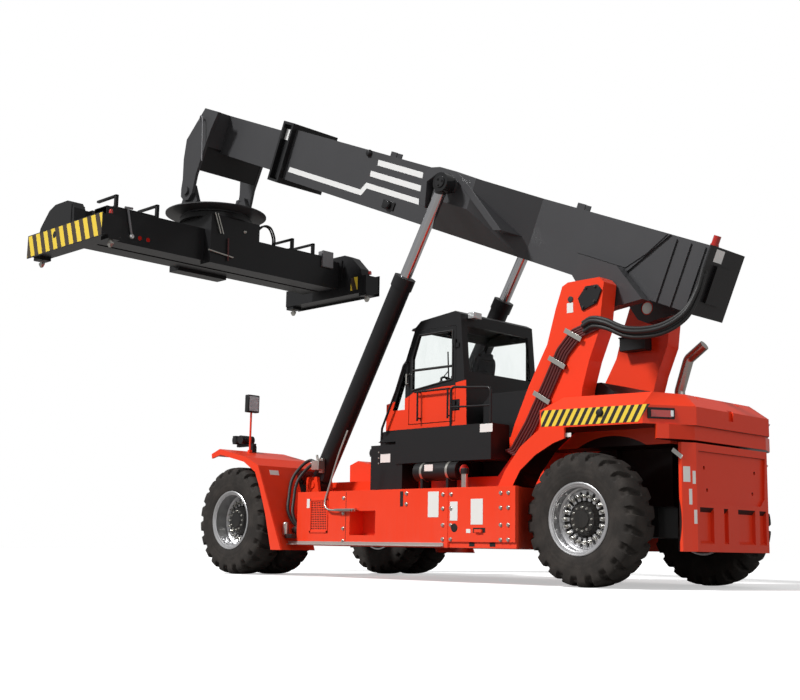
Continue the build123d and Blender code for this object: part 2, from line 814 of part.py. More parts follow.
door_window = [
    (door_front - 75, 2700), (door_front - 75, 3150), (door_front - 200, door_top - 80),
    (door_rear + 75, door_top - 80), (door_rear + 75, 2800),
]
door_leaf_half = 20
door_middle_y = cab_half_width - door_leaf_half
bar_radius = 14
with BuildPart() as cab_door:
    leaf = [
        (door_front - door_gap, door_bottom + door_gap), (door_front - door_gap, 3178),
        (door_front - 160 - door_gap, door_top - door_gap), (door_rear + door_gap, door_top - door_gap),
        (door_rear + door_gap, door_bottom + door_gap),
    ]
    slab(side_plane(door_middle_y), leaf, door_leaf_half, both=True)
    slab(side_plane(door_middle_y), door_window, door_leaf_half + 10, both=True, mode=Mode.SUBTRACT)
    for z in hinge_heights:
        rod_between((hinge_x, hinge_y, z + slide_gap), (hinge_x, hinge_y, z + hinge_length), hinge_radius)
        block((hinge_x, hinge_x + 60), (cab_half_width, hinge_y), (z + slide_gap, z + hinge_length))
    # Guard bars on the door: two upright, one along, on short studs.
    bar_y = cab_half_width + 70
    bar_front, bar_rear, bar_low, bar_high = cab_x(2720), cab_x(3310), 2230, 2650
    for x in (bar_front, bar_rear):
        rod_between((x, bar_y, bar_low), (x, bar_y, bar_high), bar_radius)
        for z in (bar_low + 40, bar_high):
            rod_between((x, cab_half_width - 5, z), (x, bar_y, z), bar_radius - 2)
    rod_between((bar_front + 60, bar_y, bar_high), (bar_rear - 30, bar_y, bar_high), bar_radius)
save(cab_door, "cab_door")

with BuildPart() as door_glass:
    slab(side_plane(door_middle_y), door_window, glass_thickness / 2, both=True)
save(door_glass, "door_glass")

# Painted lower panels lie on the cab's sides; the door carries its own part of the left one.
panel_skin = 6
waist_line = [
    (cab_nose - 10, 2520), (cab_x(2430), 2590), (cab_x(2580), 2660), (cab_x(3090), 2695), (cab_back + 25, 2760),
]
panel_outline = [(cab_nose - 10, cab_floor + 10)] + waist_line + [(cab_back + 10, cab_floor + 10)]
with BuildPart() as cab_panels:
    for side in (1, -1):
        slab(side_plane(side * (cab_half_width + panel_skin / 2)), panel_outline, panel_skin / 2, both=True)
        slab(
            side_plane(side * cab_half_width),
            [(cab_x(2150), 2420), (cab_x(2400), 2420), (cab_x(2400), 3020)],
            cab_wall, both=True, mode=Mode.SUBTRACT,
        )
    block(
        (door_front, door_rear), (cab_half_width - 1, cab_half_width + 50), (door_bottom, door_top), mode=Mode.SUBTRACT,
    )
    block(
        (hinge_x - 90, door_rear + 5), (cab_half_width - 1, cab_half_width + 50),
        (hinge_heights[0] - hinge_length - 20, hinge_heights[0] + hinge_length + 20), mode=Mode.SUBTRACT,
    )
save(cab_panels, "cab_panels")

with BuildPart() as door_panel:
    slab(side_plane(cab_half_width + panel_skin / 2), panel_outline, panel_skin / 2, both=True)
    block(
        (door_front - 12, door_rear + 12), (cab_half_width - 1, cab_half_width + 50),
        (door_bottom + 12, 2700), mode=Mode.INTERSECT,
    )
    block(
        (door_rear, hinge_x + 80), (cab_half_width - 1, cab_half_width + 50),
        (hinge_heights[0] - hinge_length - 20, hinge_heights[0] + hinge_length + 20), mode=Mode.SUBTRACT,
    )
    for x in (bar_front, bar_rear):
        for z in (bar_low + 40, bar_high):
            rod_between((x, cab_half_width - 5, z), (x, bar_y, z), bar_radius + 1, mode=Mode.SUBTRACT)
save(door_panel, "door_panel")

with BuildPart() as cab_platform:
    slab(
        side_plane(0),
        [
            (cab_x(1900), girder_top), (cab_x(1900), cab_floor - 60), (cab_x(1960), cab_floor), (cab_x(3700), cab_floor),
            (cab_x(3700), girder_top),
        ],
        cab_half_width, both=True,
    )
save(cab_platform, "cab_platform")

# Boxes along the left of the platform: walkway box, a lower box in front and an air tank behind it.
walkway_y, walkway_top = 1180, 2080
tank_y, tank_radius = 1130, 128
with BuildPart() as utility_boxes:
    block((cab_x(2600), cab_x(4380)), (cab_half_width, walkway_y), (1600, walkway_top))
    block((cab_x(2080), cab_x(2720)), (cab_half_width, walkway_y - 20), (girder_top, 1880))
    block((cab_x(2080), cab_x(2720)), (girder_outer_y, walkway_y - 20), (skirt_top, girder_top))
    slab(
        side_plane(cab_half_width + 100),
        [(cab_x(2060), 1940), (cab_x(2600), 1940), (cab_x(2600), walkway_top), (cab_x(2330), walkway_top)],
        100, both=True,
    )
    rod_between((cab_x(3020), tank_y, 1470), (cab_x(3810), tank_y, 1470), tank_radius)
    rod_between((cab_x(3810), tank_y, 1470), (cab_x(3840), tank_y, 1470), 60)
    for x in (cab_x(3160), cab_x(3640)):
        block((x - 20, x + 20), (tank_y - 90, tank_y + 90), (skirt_top, 1400))
        block((x - 15, x + 15), (tank_y - 60, tank_y + 40), (1500, 1600))
save(utility_boxes, "utility_boxes")

# Grab rails: one bent bar up the cab's left front corner, one square rail behind the door.
rail_radius = 17
rail_y = cab_half_width + 80
rail_back_y = walkway_y - 40
with BuildPart() as handrails:
    bent_tube(
        [
            (cab_x(2000), rail_y, 1941), (cab_x(2010), rail_y, 2160), (cab_x(2290), rail_y, 2700),
            (cab_x(2440), rail_y, 3060), (cab_x(2455), cab_half_width + 40, 3120), (cab_x(2455), cab_half_width, 3120),
        ],
        rail_radius, 28,
    )
    bent_tube(
        [
            (cab_x(3620), rail_back_y, walkway_top), (cab_x(3620), rail_back_y, 2620),
            (cab_x(4340), rail_back_y, 2560), (cab_x(4340), rail_back_y, walkway_top),
        ],
        rail_radius, 70,
    )
    rod_between((cab_x(3620), rail_back_y, 2340), (cab_x(4340), rail_back_y, 2320), rail_radius - 4)
save(handrails, "handrails")

with BuildPart() as seat_base:
    block((cab_x(2950), cab_x(3250)), (-200, 200), (cab_floor + cab_wall, cab_floor + 400))
save(seat_base, "seat_base")

with BuildPart() as seat_cushion:
    block((cab_x(2780), cab_x(3300)), (-250, 250), (cab_floor + 400, cab_floor + 520))
    slab(
        side_plane(0),
        [(cab_x(3180), cab_floor + 520), (cab_x(3300), cab_floor + 1150), (cab_x(3400), cab_floor + 1150), (cab_x(3300), cab_floor + 520)],
        240, both=True,
    )
save(seat_cushion, "seat_cushion")

with BuildPart() as steering_console:
    slab(
        side_plane(0),
        [(cab_x(2250), cab_floor + cab_wall), (cab_x(2330), cab_floor + 560), (cab_x(2450), cab_floor + 600), (cab_x(2440), cab_floor + cab_wall)],
        170, both=True,
    )
    column_foot, column_head = (cab_x(2430), 0, cab_floor + 560), (cab_x(2590), 0, cab_floor + 740)
    rod_between(column_foot, column_head, 28)
    with Locations(Plane(origin=column_head, z_dir=Vector(*column_head) - Vector(*column_foot))):
        Torus(185, 16)
        Box(370, 30, 16)
save(steering_console, "steering_console")

# ================================================================ boom
def boom_box(along, y_faces, up, mode=Mode.ADD):
    """A block whose faces follow the boom: along it, across it and square to it."""
    plane = boom_plane.offset(-y_faces[0])
    outline = [(along[0], up[0]), (along[1], up[0]), (along[1], up[1]), (along[0], up[1])]
    slab(plane, outline, -(y_faces[1] - y_faces[0]), mode=mode)


inner_bottom = boom_bottom + boom_wall + inner_boom_gap
inner_top = boom_top - boom_wall - inner_boom_gap
inner_half_width = boom_half_width - boom_wall - inner_boom_gap
wing_inner_y = boom_half_width
wing_outer_y = cylinder_y - eye_width / 2 - 90

tail_half_width = 395
tail_wall = 15
tail_inner = tail_half_width - tail_wall
slant_top, slant_foot = -590, 80
# Wings: tapered boxes on the boom's sides that carry the lift cylinders' rod eyes.
wing_plan = [(1610, wing_inner_y), (2480, wing_outer_y), (3240, wing_outer_y), (3700, wing_inner_y)]
rib_places = (boom_rear + 40, boom_rear + 260, boom_rear + 480)
with BuildPart() as outer_boom:
    slab(
        boom_plane,
        [(slant_top, boom_top), (boom_front, boom_top), (boom_front, boom_bottom), (slant_foot, boom_bottom)],
        boom_half_width, both=True,
    )
    boom_box((boom_rear, slant_foot + 200), (-tail_half_width, tail_half_width), (boom_bottom + 10, boom_top))
    # Upright ribs on the tail's sides.
    for along in rib_places:
        for side in (1, -1):
            boom_box(
                (along, along + 25), (side * (tail_half_width - 1), side * (boom_half_width - 2)),
                (boom_bottom + 10, boom_top - 40),
            )
    for side in (1, -1):
        top_plane = Plane(
            origin=boom_point(0, boom_bottom), x_dir=boom_plane.x_dir, z_dir=boom_plane.y_dir,
        )
        slab(top_plane, [(along, side * (y - 1 if y == wing_inner_y else y)) for along, y in wing_plan], boom_depth)
        # The underside rises outwards, from the boom's bottom edge to the trunnion.
        slab(
            Plane(origin=boom_point(0, 0), x_dir=(0, 1, 0), z_dir=boom_plane.x_dir),
            [
                (side * (wing_inner_y + 20), boom_bottom - 5), (side * (wing_outer_y + 10), rod_eye_up - 250),
                (side * (wing_outer_y + 10), boom_bottom - 5),
            ],
            4000,
            mode=Mode.SUBTRACT,
        )
        rod_between(
            boom_point(rod_eye_along, rod_eye_up, side * (wing_outer_y - 5)),
            boom_point(rod_eye_along, rod_eye_up, side * (cylinder_y - eye_width / 2 - slide_gap)),
            eye_radius - 35,
        )
    boom_box(
        (slant_foot + 190, boom_front + 5),
        (-boom_half_width + boom_wall, boom_half_width - boom_wall),
        (boom_bottom + boom_wall, boom_top - boom_wall),
        mode=Mode.SUBTRACT,
    )
    boom_box(
        (boom_rear - 5, slant_foot + 195), (-tail_inner, tail_inner), (boom_bottom + boom_wall, boom_top - boom_wall),
        mode=Mode.SUBTRACT,
    )
    # Root bracket: two cheeks under the boom that take the pivot pins.
    for side in (1, -1):
        cheek_outer = tower_inner_y - 30
        slab(
            boom_plane.offset(-side * (cheek_outer + 440) / 2),
            [
                (-620, boom_bottom), (-180, -120), (-80, -190), (80, -190), (190, -120), (560, boom_bottom),
                (560, boom_bottom + 300), (-80, boom_bottom + 300),
            ],
            (cheek_outer - 440) / 2,
            both=True,
        )
        boom_box((100, 560), (side * (boom_half_width - 1), side * 450), (boom_bottom, boom_bottom + 300))
        rod_between(
            (pivot_x, side * 430, pivot_height), (pivot_x, side * 700, pivot_height),
            pivot_radius + slide_gap, mode=Mode.SUBTRACT,
        )
    # A raised plate on each side just ahead of the slant, and a lifting lug on top.
    plate_proud = 12
    for side in (1, -1):
        slab(
            boom_plane.offset(-side * (boom_half_width + plate_proud / 2)),
            [
                (470, boom_top - 10), (slant_top + 40, boom_top - 10), (slant_top + 255, boom_bottom + 560),
                (-90, boom_bottom + 310), (740, boom_bottom + 310),
            ],
            plate_proud / 2 + 0.5, both=True,
        )
    for along in (1150, 5200):
        boom_box((along, along + 140), (-70, -50), (boom_top - 1, boom_top + 90))
        boom_box((along, along + 140), (50, 70), (boom_top - 1, boom_top + 90))
save(outer_boom, "outer_boom")

cap_thickness = 20
with BuildPart() as boom_tail:
    boom_box(
        (boom_rear - cap_thickness, boom_rear), (-tail_half_width - 5, tail_half_width + 5), (boom_bottom, boom_top + 10),
    )
    boom_box((boom_rear - 60, boom_rear - cap_thickness), (-180, 180), (boom_bottom + 180, boom_top - 220))
save(boom_tail, "boom_tail")

beacon_radius = 48
with BuildPart() as beacon:
    rod_between(boom_point(boom_rear + 200, boom_top), boom_point(boom_rear + 200, boom_top + 40), beacon_radius + 8)
    rod_between(boom_point(boom_rear + 200, boom_top + 40), boom_point(boom_rear + 200, boom_top + 150), beacon_radius)
save(beacon, "beacon")

flange = 45
with BuildPart() as boom_collar:
    boom_box(
        (boom_front, boom_front + collar_length),
        (-boom_half_width - collar_rim, boom_half_width + collar_rim),
        (boom_bottom - collar_rim, boom_top + collar_rim),
    )
    boom_box(
        (boom_front - 10, boom_front + collar_length + 10),
        (-inner_half_width - slide_gap, inner_half_width + slide_gap),
        (inner_bottom - slide_gap, inner_top + slide_gap),
        mode=Mode.SUBTRACT,
    )
    # Each side is cut back between the collar's two flanges, with a drain hole below.
    for side in (1, -1):
        boom_box(
            (boom_front + flange, boom_front + collar_length - flange),
            (side * (boom_half_width + 10), side * (boom_half_width + collar_rim + 5)),
            (boom_bottom - collar_rim + flange, boom_top + collar_rim - flange),
            mode=Mode.SUBTRACT,
        )
    boom_box(
        (boom_front + flange + 20, boom_front + collar_length - flange - 20), (-boom_half_width - collar_rim - 5, boom_half_width + collar_rim + 5),
        (boom_bottom - collar_rim + flange, boom_bottom - 15), mode=Mode.SUBTRACT,
    )
save(boom_collar, "boom_collar")

with BuildPart() as inner_boom:
    boom_box((inner_boom_rear, inner_boom_front), (-inner_half_width, inner_half_width), (inner_bottom, inner_top))
    boom_box(
        (inner_boom_rear - 5, inner_boom_front + 5),
        (-inner_half_width + inner_boom_wall, inner_half_width - inner_boom_wall),
        (inner_bottom + inner_boom_wall, inner_top - inner_boom_wall),
        mode=Mode.SUBTRACT,
    )
    # Rear wear pads ring the inner boom's tail and slide in the outer boom.
    pad_outer = tail_inner - slide_gap
    for side in (1, -1):
        boom_box(
            (inner_boom_rear, inner_boom_rear + 220), (side * (inner_half_width - 1), side * pad_outer),
            (inner_bottom + 60, inner_top - 60),
        )
        boom_box(
            (inner_boom_rear, inner_boom_rear + 220), (side * 120, side * (inner_half_width - 20)),
            (boom_bottom + boom_wall + slide_gap, inner_bottom + 1),
        )
        boom_box(
            (inner_boom_rear, inner_boom_rear + 220), (side * 120, side * (inner_half_width - 20)),
            (inner_top - 1, boom_top - boom_wall - slide_gap),
        )
save(inner_boom, "inner_boom")

leg_outline = [
    (9526, inner_top), (9980, inner_top), (10300, 266), (10218, -103), (10066, -462), (tilt_pin_along + 190, tilt_pin_up),
    (tilt_pin_along + 130, tilt_pin_up - 140), (tilt_pin_along, tilt_pin_up - 195),
    (tilt_pin_along - 130, tilt_pin_up - 140), (tilt_pin_along - 190, tilt_pin_up), (9692, -292), (9657, 190), (9615, 577),
]
with BuildPart() as boom_head:
    for side in (1, -1):
        slab(boom_plane.offset(-side * head_leg_y), leg_outline, head_leg_thickness / 2, both=True)
        rod_between(
            boom_point(tilt_pin_along, tilt_pin_up, side * (head_leg_y - 110)),
            boom_point(tilt_pin_along, tilt_pin_up, side * (head_leg_y + 70)),
            tilt_pin_radius,
        )
    inner_leg_y = head_leg_y - head_leg_thickness / 2
    boom_box((inner_boom_front, 9980), (-inner_leg_y - 1, inner_leg_y + 1), (266, inner_top))
    slab(
        boom_plane, [(9980, inner_top), (10300, 266), (9980, 266)], inner_leg_y + 1, both=True,
    )
save(boom_head, "boom_head")

# ================================================================ lift cylinders
eye_point = boom_point(rod_eye_along, rod_eye_up)
base_point = Vector(front_axle_x - cylinder_base_from_front_axle, 0, cylinder_base_height)
cylinder_axis = (Vector(eye_point.X, 0, eye_point.Z) - base_point).normalized()
cylinder_length = (Vector(eye_point.X, 0, eye_point.Z) - base_point).length


def on_cylinder(distance):
    """A point on the left cylinder's axis, from its foot pin."""
    point = base_point + cylinder_axis * distance
    return (point.X, cylinder_y, point.Z)


eye_faces = (cylinder_y - eye_width / 2, cylinder_y + eye_width / 2)
with BuildPart() as barrel:
    rod_between(on_cylinder(barrel_radius - 30), on_cylinder(barrel_length), barrel_radius)
    rod_between(on_cylinder(barrel_length - 170), on_cylinder(barrel_length), barrel_radius + 14)
    for faces in ((eye_faces[0] - 100, eye_faces[0]), (eye_faces[1], eye_faces[1] + 100)):
        block(
            (base_point.X - 250, base_point.X + 250), faces, (base_point.Z - 250, base_point.Z + 220),
            mode=Mode.SUBTRACT,
        )
    rod_between(
        (base_point.X, eye_faces[0], base_point.Z), (base_point.X, eye_faces[1], base_point.Z), barrel_radius - 8,
    )
    rod_between(
        (base_point.X, eye_faces[0] - 1, base_point.Z), (base_point.X, eye_faces[1] + 1, base_point.Z),
        pin_radius + slide_gap, mode=Mode.SUBTRACT,
    )
    rod_between(
        on_cylinder(bore_foot), on_cylinder(barrel_length + 5), rod_radius + slide_gap, mode=Mode.SUBTRACT,
    )

with BuildPart() as rod:
    rod_between(on_cylinder(rod_foot), on_cylinder(cylinder_length - 60), rod_radius)
    rod_between(
        (eye_point.X, eye_faces[0], eye_point.Z), (eye_point.X, eye_faces[1], eye_point.Z), eye_radius,
    )

for piece, name in ((barrel, "lift_barrel"), (rod, "lift_rod")):
    save(piece, f"{name}_left")
    with BuildPart() as mirrored:
        add(mirror(piece.part, about=Plane.XZ))
    save(mirrored, f"{name}_right")

# ================================================================ spreader
tilt_pin = boom_point(tilt_pin_along, tilt_pin_up)
spreader_x, tilt_z = tilt_pin.X, tilt_pin.Z
pad_z = tilt_z - spreader_drop


def spreader_axis_plane():
    """Half profiles about the slewing axis: first coordinate the radius, second the height."""
    return Plane(origin=(spreader_x, 0, 0), x_dir=(1, 0, 0), z_dir=(0, -1, 0))


slew_axis = Axis((spreader_x, 0, 0), (0, 0, 1))
yoke_bottom = tilt_z - 400
with BuildPart() as tilt_yoke:
    turned(
        spreader_axis_plane(),
        [
            (0, yoke_bottom), (slew_radius, yoke_bottom), (slew_radius, yoke_bottom + 30), (yoke_radius, tilt_z - 350),
            (yoke_radius, tilt_z - 330), (500, tilt_z - 215), (0, tilt_z - 215),
        ],
        slew_axis,
    )
    for side in (1, -1):
        ear_outer = head_leg_y - head_leg_thickness / 2 - 8
        slab(
            side_plane(side * (ear_outer - 40)),
            [
                (spreader_x - 260, tilt_z - 230), (spreader_x + 260, tilt_z - 230), (spreader_x + 120, tilt_z + 110),
                (spreader_x - 120, tilt_z + 110),
            ],
            40,
            both=True,
        )
        rod_between(
            (spreader_x, side * (head_leg_y - 140), tilt_z), (spreader_x, side * (head_leg_y + 80), tilt_z),
            tilt_pin_radius + slide_gap, mode=Mode.SUBTRACT,
        )
save(tilt_yoke, "tilt_yoke")

frame_top = pad_z + frame_top_over_pads
frame_bottom = frame_top - frame_tube_height
tube_offset = frame_tube_width / 2 + 40
carriage_top = yoke_bottom - slide_gap
with BuildPart() as slew_carriage:
    turned(
        spreader_axis_plane(),
        [(0, carriage_top - 120), (slew_radius + 60, carriage_top - 120), (slew_radius + 60, carriage_top - 30), (slew_radius, carriage_top), (0, carriage_top)],
        slew_axis,
    )
    block((spreader_x - 640, spreader_x + 640), (-560, 560), (frame_top + slide_gap, carriage_top - 120))
    for end in (1, -1):
        block(
            (spreader_x + end * (tube_offset + frame_tube_width / 2 + 1), spreader_x + end * 640), (-560, 560),
            (frame_bottom - 60, frame_top + slide_gap),
        )
        block(
            (spreader_x + end * (tube_offset + frame_tube_width / 2 - 90), spreader_x + end * 640), (-560, 560),
            (frame_bottom - 60, frame_bottom - 1),
        )
save(slew_carriage, "slew_carriage")

tube_wall = 14
telescope_gap = 12
with BuildPart() as spreader_frame:
    for end in (1, -1):
        middle = spreader_x + end * tube_offset
        block(
            (middle - frame_tube_width / 2, middle + frame_tube_width / 2), (-frame_half_length, frame_half_length),
            (frame_bottom, frame_top),
        )
        block(
            (middle - frame_tube_width / 2 + tube_wall, middle + frame_tube_width / 2 - tube_wall),
            (-frame_half_length - 1, frame_half_length + 1),
            (frame_bottom + tube_wall, frame_top - tube_wall),
            mode=Mode.SUBTRACT,
        )
    for y in (-frame_half_length + 150, 0, frame_half_length - 150):
        block((spreader_x - 41, spreader_x + 41), (y - 150, y + 150), (frame_bottom + 20, frame_top - 20))
save(spreader_frame, "spreader_frame")

beam_height = frame_tube_height - 2 * tube_wall - 2 * telescope_gap
beam_width = frame_tube_width - 2 * tube_wall - 2 * telescope_gap
beam_middle_z = (frame_top + frame_bottom) / 2
for name, side, end in (("left", 1, 1), ("right", -1, -1)):
    middle = spreader_x + end * tube_offset
    with BuildPart() as telescope_beam:
        block(
            (middle - beam_width / 2, middle + beam_width / 2),
            (-side * (frame_half_length - 120), side * (corner_y - 130)),
            (beam_middle_z - beam_height / 2, beam_middle_z + beam_height / 2),
        )
        block(
            (middle - beam_width / 2 + 12, middle + beam_width / 2 - 12),
            (-side * frame_half_length, side * (corner_y - 131)),
            (beam_middle_z - beam_height / 2 + 12, beam_middle_z + beam_height / 2 - 12),
            mode=Mode.SUBTRACT,
        )
        # Slide shoes at the tail that bear on the frame tube's walls.
        block(
            (middle - frame_tube_width / 2 + tube_wall + slide_gap, middle + frame_tube_width / 2 - tube_wall - slide_gap),
            (-side * (frame_half_length - 120), -side * (frame_half_length - 280)),
            (frame_bottom + tube_wall + slide_gap, frame_top - tube_wall - slide_gap),
        )
    save(telescope_beam, f"telescope_beam_{name}")

    with BuildPart() as end_beam:
        beam_inner, beam_outer = side * (corner_y - end_beam_half_width), side * (corner_y + end_beam_half_width + 90)
        block((spreader_x - 1230, spreader_x + 1230), (beam_inner, beam_outer), (pad_z + 60, pad_z + 400))
        block(
            (middle - frame_tube_width / 2 - 60, middle + frame_tube_width / 2 + 60),
            (beam_inner, side * (corner_y + end_beam_half_width)), (pad_z + 400, frame_top + 10),
        )
        for corner in (1, -1):
            block(
                (spreader_x + corner * (corner_x - 120), spreader_x + corner * (corner_x + 101)),
                (side * (corner_y - 110), side * (corner_y + 110)),
                (pad_z, pad_z + 60),
            )
            rod_between(
                (spreader_x + corner * corner_x, side * corner_y, pad_z - 1),
                (spreader_x + corner * corner_x, side * corner_y, pad_z + 405),
                34,
                mode=Mode.SUBTRACT,
            )
        # Guard plate on the outer side, and the rounded cover of the lock drive behind it.
        block(
            (spreader_x - 1240, spreader_x + 1240), (beam_outer, beam_outer + side * 20),
            (pad_z + 20, pad_z + 430),
        )
        slab(
            side_plane(side * (corner_y + 10)),
            [
                (spreader_x + end * along, pad_z + up) for along, up in (
                    (-120, 399), (-90, 740), (0, 860), (140, 905), (560, 905), (760, 830), (1040, 560), (1080, 399),
                )
            ],
            110, both=True,
        )
    save(end_beam, f"end_beam_{name}")

    for place, corner in (("front", 1), ("rear", -1)):
        with BuildPart() as twistlock:
            x, y = spreader_x + corner * corner_x, side * corner_y
            rod_between((x, y, pad_z - 60), (x, y, pad_z + 390), 33.5)
            with BuildSketch(Plane.XY.offset(pad_z - 115)) as tip:
                with Locations((x, y)):
                    Rectangle(50, 30)
            with BuildSketch(Plane.XY.offset(pad_z - 60)) as shoulder:
                with Locations((x, y)):
                    Rectangle(104, 62)
            loft([tip.sketch, shoulder.sketch])
            with BuildSketch(Plane.XY.offset(pad_z - 60)) as head:
                with Locations((x, y)):
                    Rectangle(104, 62)
            extrude(head.sketch, amount=28)
        save(twistlock, f"twistlock_{name}_{place}")
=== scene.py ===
import json
import math

import bmesh
import bpy
import numpy as np
from mathutils import Matrix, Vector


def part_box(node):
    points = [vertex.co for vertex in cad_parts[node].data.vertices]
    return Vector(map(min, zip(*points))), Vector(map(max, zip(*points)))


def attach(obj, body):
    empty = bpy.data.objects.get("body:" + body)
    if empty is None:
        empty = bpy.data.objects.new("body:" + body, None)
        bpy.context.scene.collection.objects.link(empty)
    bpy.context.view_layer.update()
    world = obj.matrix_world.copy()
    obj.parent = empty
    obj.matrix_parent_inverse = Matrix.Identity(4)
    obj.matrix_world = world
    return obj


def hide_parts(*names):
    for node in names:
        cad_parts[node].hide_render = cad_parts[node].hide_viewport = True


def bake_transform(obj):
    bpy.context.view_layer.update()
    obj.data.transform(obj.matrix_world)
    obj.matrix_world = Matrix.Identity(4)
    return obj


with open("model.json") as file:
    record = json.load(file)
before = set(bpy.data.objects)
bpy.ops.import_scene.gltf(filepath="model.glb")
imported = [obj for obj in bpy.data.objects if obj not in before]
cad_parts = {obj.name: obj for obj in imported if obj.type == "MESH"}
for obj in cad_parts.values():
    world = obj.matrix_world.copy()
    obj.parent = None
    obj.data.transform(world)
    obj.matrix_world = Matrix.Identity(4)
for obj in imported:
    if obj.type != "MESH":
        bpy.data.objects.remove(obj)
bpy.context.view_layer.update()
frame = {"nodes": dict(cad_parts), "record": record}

scene = bpy.context.scene
scene.view_settings.view_transform = "Standard"
nodes = frame["nodes"]


def span(node):
    """Lowest and highest corner of a frame node, as arrays."""
    low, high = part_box(node)
    return np.array(low), np.array(high)


front_x = sum(span("front_axle"))[0] / 2
rear_x = sum(span("steer_axle"))[0] / 2
axle_z = sum(span("rear_rim_left"))[2] / 2
forward, sideways, upright = (1, 0, 0), (0, 1, 0), (0, 0, 1)
both_sides = ((1, "left"), (-1, "right"))

# ------------------------------ chassis, towers, hood, counterweight
# Welded steel plate, primed and sprayed with two coats of orange-red gloss. It is a new machine:
# the paint is even, a little duller low down where road dust settles.


def shader_group(name, inputs, outputs):
    """A node group with named sockets: (name, type, value) going in, (name, type) coming out."""
    tree = bpy.data.node_groups.new(name, "ShaderNodeTree")
    for socket, kind, value in inputs:
        made = tree.interface.new_socket(socket, in_out="INPUT", socket_type="NodeSocket" + kind)
        made.default_value = value
    for socket, kind in outputs:
        tree.interface.new_socket(socket, in_out="OUTPUT", socket_type="NodeSocket" + kind)
    return tree, tree.nodes.new("NodeGroupInput").outputs, tree.nodes.new("NodeGroupOutput").inputs


def put(tree, kind, links, **settings):
    """A node with its settings; each of its inputs gets a socket or a plain value."""
    node = tree.nodes.new("ShaderNode" + kind)
    for key, value in settings.items():
        setattr(node, key, value)
    for key, value in links.items():
        if isinstance(value, bpy.types.NodeSocket):
            tree.links.new(value, node.inputs[key])
        else:
            node.inputs[key].default_value = value
    return node


def mixed(tree, factor, a, b):
    """Colour a, turning into colour b as the factor goes from 0 to 1."""
    return put(tree, "Mix", {0: factor, 6: a, 7: b}, data_type="RGBA").outputs[2]


def reach(tree, value, low, high):
    """0 below low, 1 above high, easing between; low may be the greater."""
    links = {"Value": value, "From Min": low, "From Max": high}
    return put(tree, "MapRange", links, interpolation_type="SMOOTHSTEP").outputs[0]


def sum_of(tree, a, b, operation="MULTIPLY"):
    """Two values put together by one arithmetic step."""
    return put(tree, "Math", {0: a, 1: b}, operation=operation).outputs[0]


def own_place(tree):
    """The point on the piece, in the piece's own metres."""
    return put(tree, "TexCoord", {}).outputs["Object"]


def axes_of(tree, vector):
    """The x, y and z of a vector, each as a socket."""
    return put(tree, "SeparateXYZ", {0: vector}).outputs


def from_line_across(tree, centre):
    """How far the point is from the line along y through the centre."""
    flat = put(tree, "VectorMath", {0: own_place(tree), 1: (1, 0, 1)}, operation="MULTIPLY").outputs[0]
    return put(tree, "VectorMath", {0: flat, 1: tuple(centre)}, operation="DISTANCE").outputs["Value"]


def speckle(tree, scale, detail, stretch=(1, 1, 1)):
    """Noise over the piece's own metres, stretched by a factor on each axis."""
    place = put(tree, "Mapping", {"Vector": own_place(tree), "Scale": stretch}).outputs[0]
    links = {"Vector": place, "Scale": scale, "Detail": detail, "Roughness": 0.6}
    return put(tree, "TexNoise", links).outputs[0]


coat_tree, coat_in, coat_out = shader_group(
    "settled_dust",
    [
        ("Paint", "Color", (0.5, 0.5, 0.5, 1)), ("Dust", "Color", (0.33, 0.28, 0.23, 1)),
        ("Dust Amount", "Float", 0.2),
        ("Mottle", "Float", 0.06), ("Roughness", "Float", 0.35), ("Peel Scale", "Float", 160.0),
    ],
    [("Colour", "Color"), ("Roughness", "Float"), ("Height", "Float")],
)
tree = coat_tree
broad = speckle(tree, 1.1, 4.0)
streaks = speckle(tree, 2.4, 3.0, (6, 6, 0.5))
fine = speckle(tree, 42.0, 2.0)
place_z = axes_of(tree, own_place(tree))[2]
facing_z = axes_of(tree, put(tree, "NewGeometry", {}).outputs["Normal"])[2]
low_down = reach(tree, place_z, 1.5, 0.2)
upward = sum_of(tree, reach(tree, facing_z, 0.6, 1.0), 0.45)
settled = sum_of(tree, low_down, upward, "MAXIMUM")
patchy = sum_of(tree, reach(tree, broad, 0.3, 0.75), reach(tree, streaks, 0.25, 0.8), "ADD")
dusty = sum_of(tree, sum_of(tree, settled, patchy), coat_in["Dust Amount"])
dusty_clamped = put(tree, "Math", {0: dusty, 1: 1.0}, operation="MULTIPLY", use_clamp=True).outputs[0]
shade = sum_of(tree, sum_of(tree, broad, 0.5, "SUBTRACT"), coat_in["Mottle"])
shade = sum_of(tree, sum_of(tree, shade, 2.0), 1.0, "ADD")
toned = put(tree, "VectorMath", {0: coat_in["Paint"], "Scale": shade}, operation="SCALE").outputs[0]
tree.links.new(mixed(tree, dusty_clamped, toned, coat_in["Dust"]), coat_out["Colour"])
duller = sum_of(tree, dusty_clamped, 0.5)
rougher = sum_of(tree, sum_of(tree, fine, 0.5, "SUBTRACT"), 0.12)
rough = sum_of(tree, sum_of(tree, coat_in["Roughness"], duller, "ADD"), rougher, "ADD")
tree.links.new(rough, coat_out["Roughness"])
peel_links = {"Vector": own_place(tree), "Scale": coat_in["Peel Scale"], "Detail": 1.0}
peel = put(tree, "TexNoise", peel_links).outputs[0]
tree.links.new(peel, coat_out["Height"])


def new_finish(name):
    """A new material, with its node tree and its shader."""
    material = bpy.data.materials.new(name)
    material.use_nodes = True
    return material, material.node_tree, material.node_tree.nodes["Principled BSDF"]


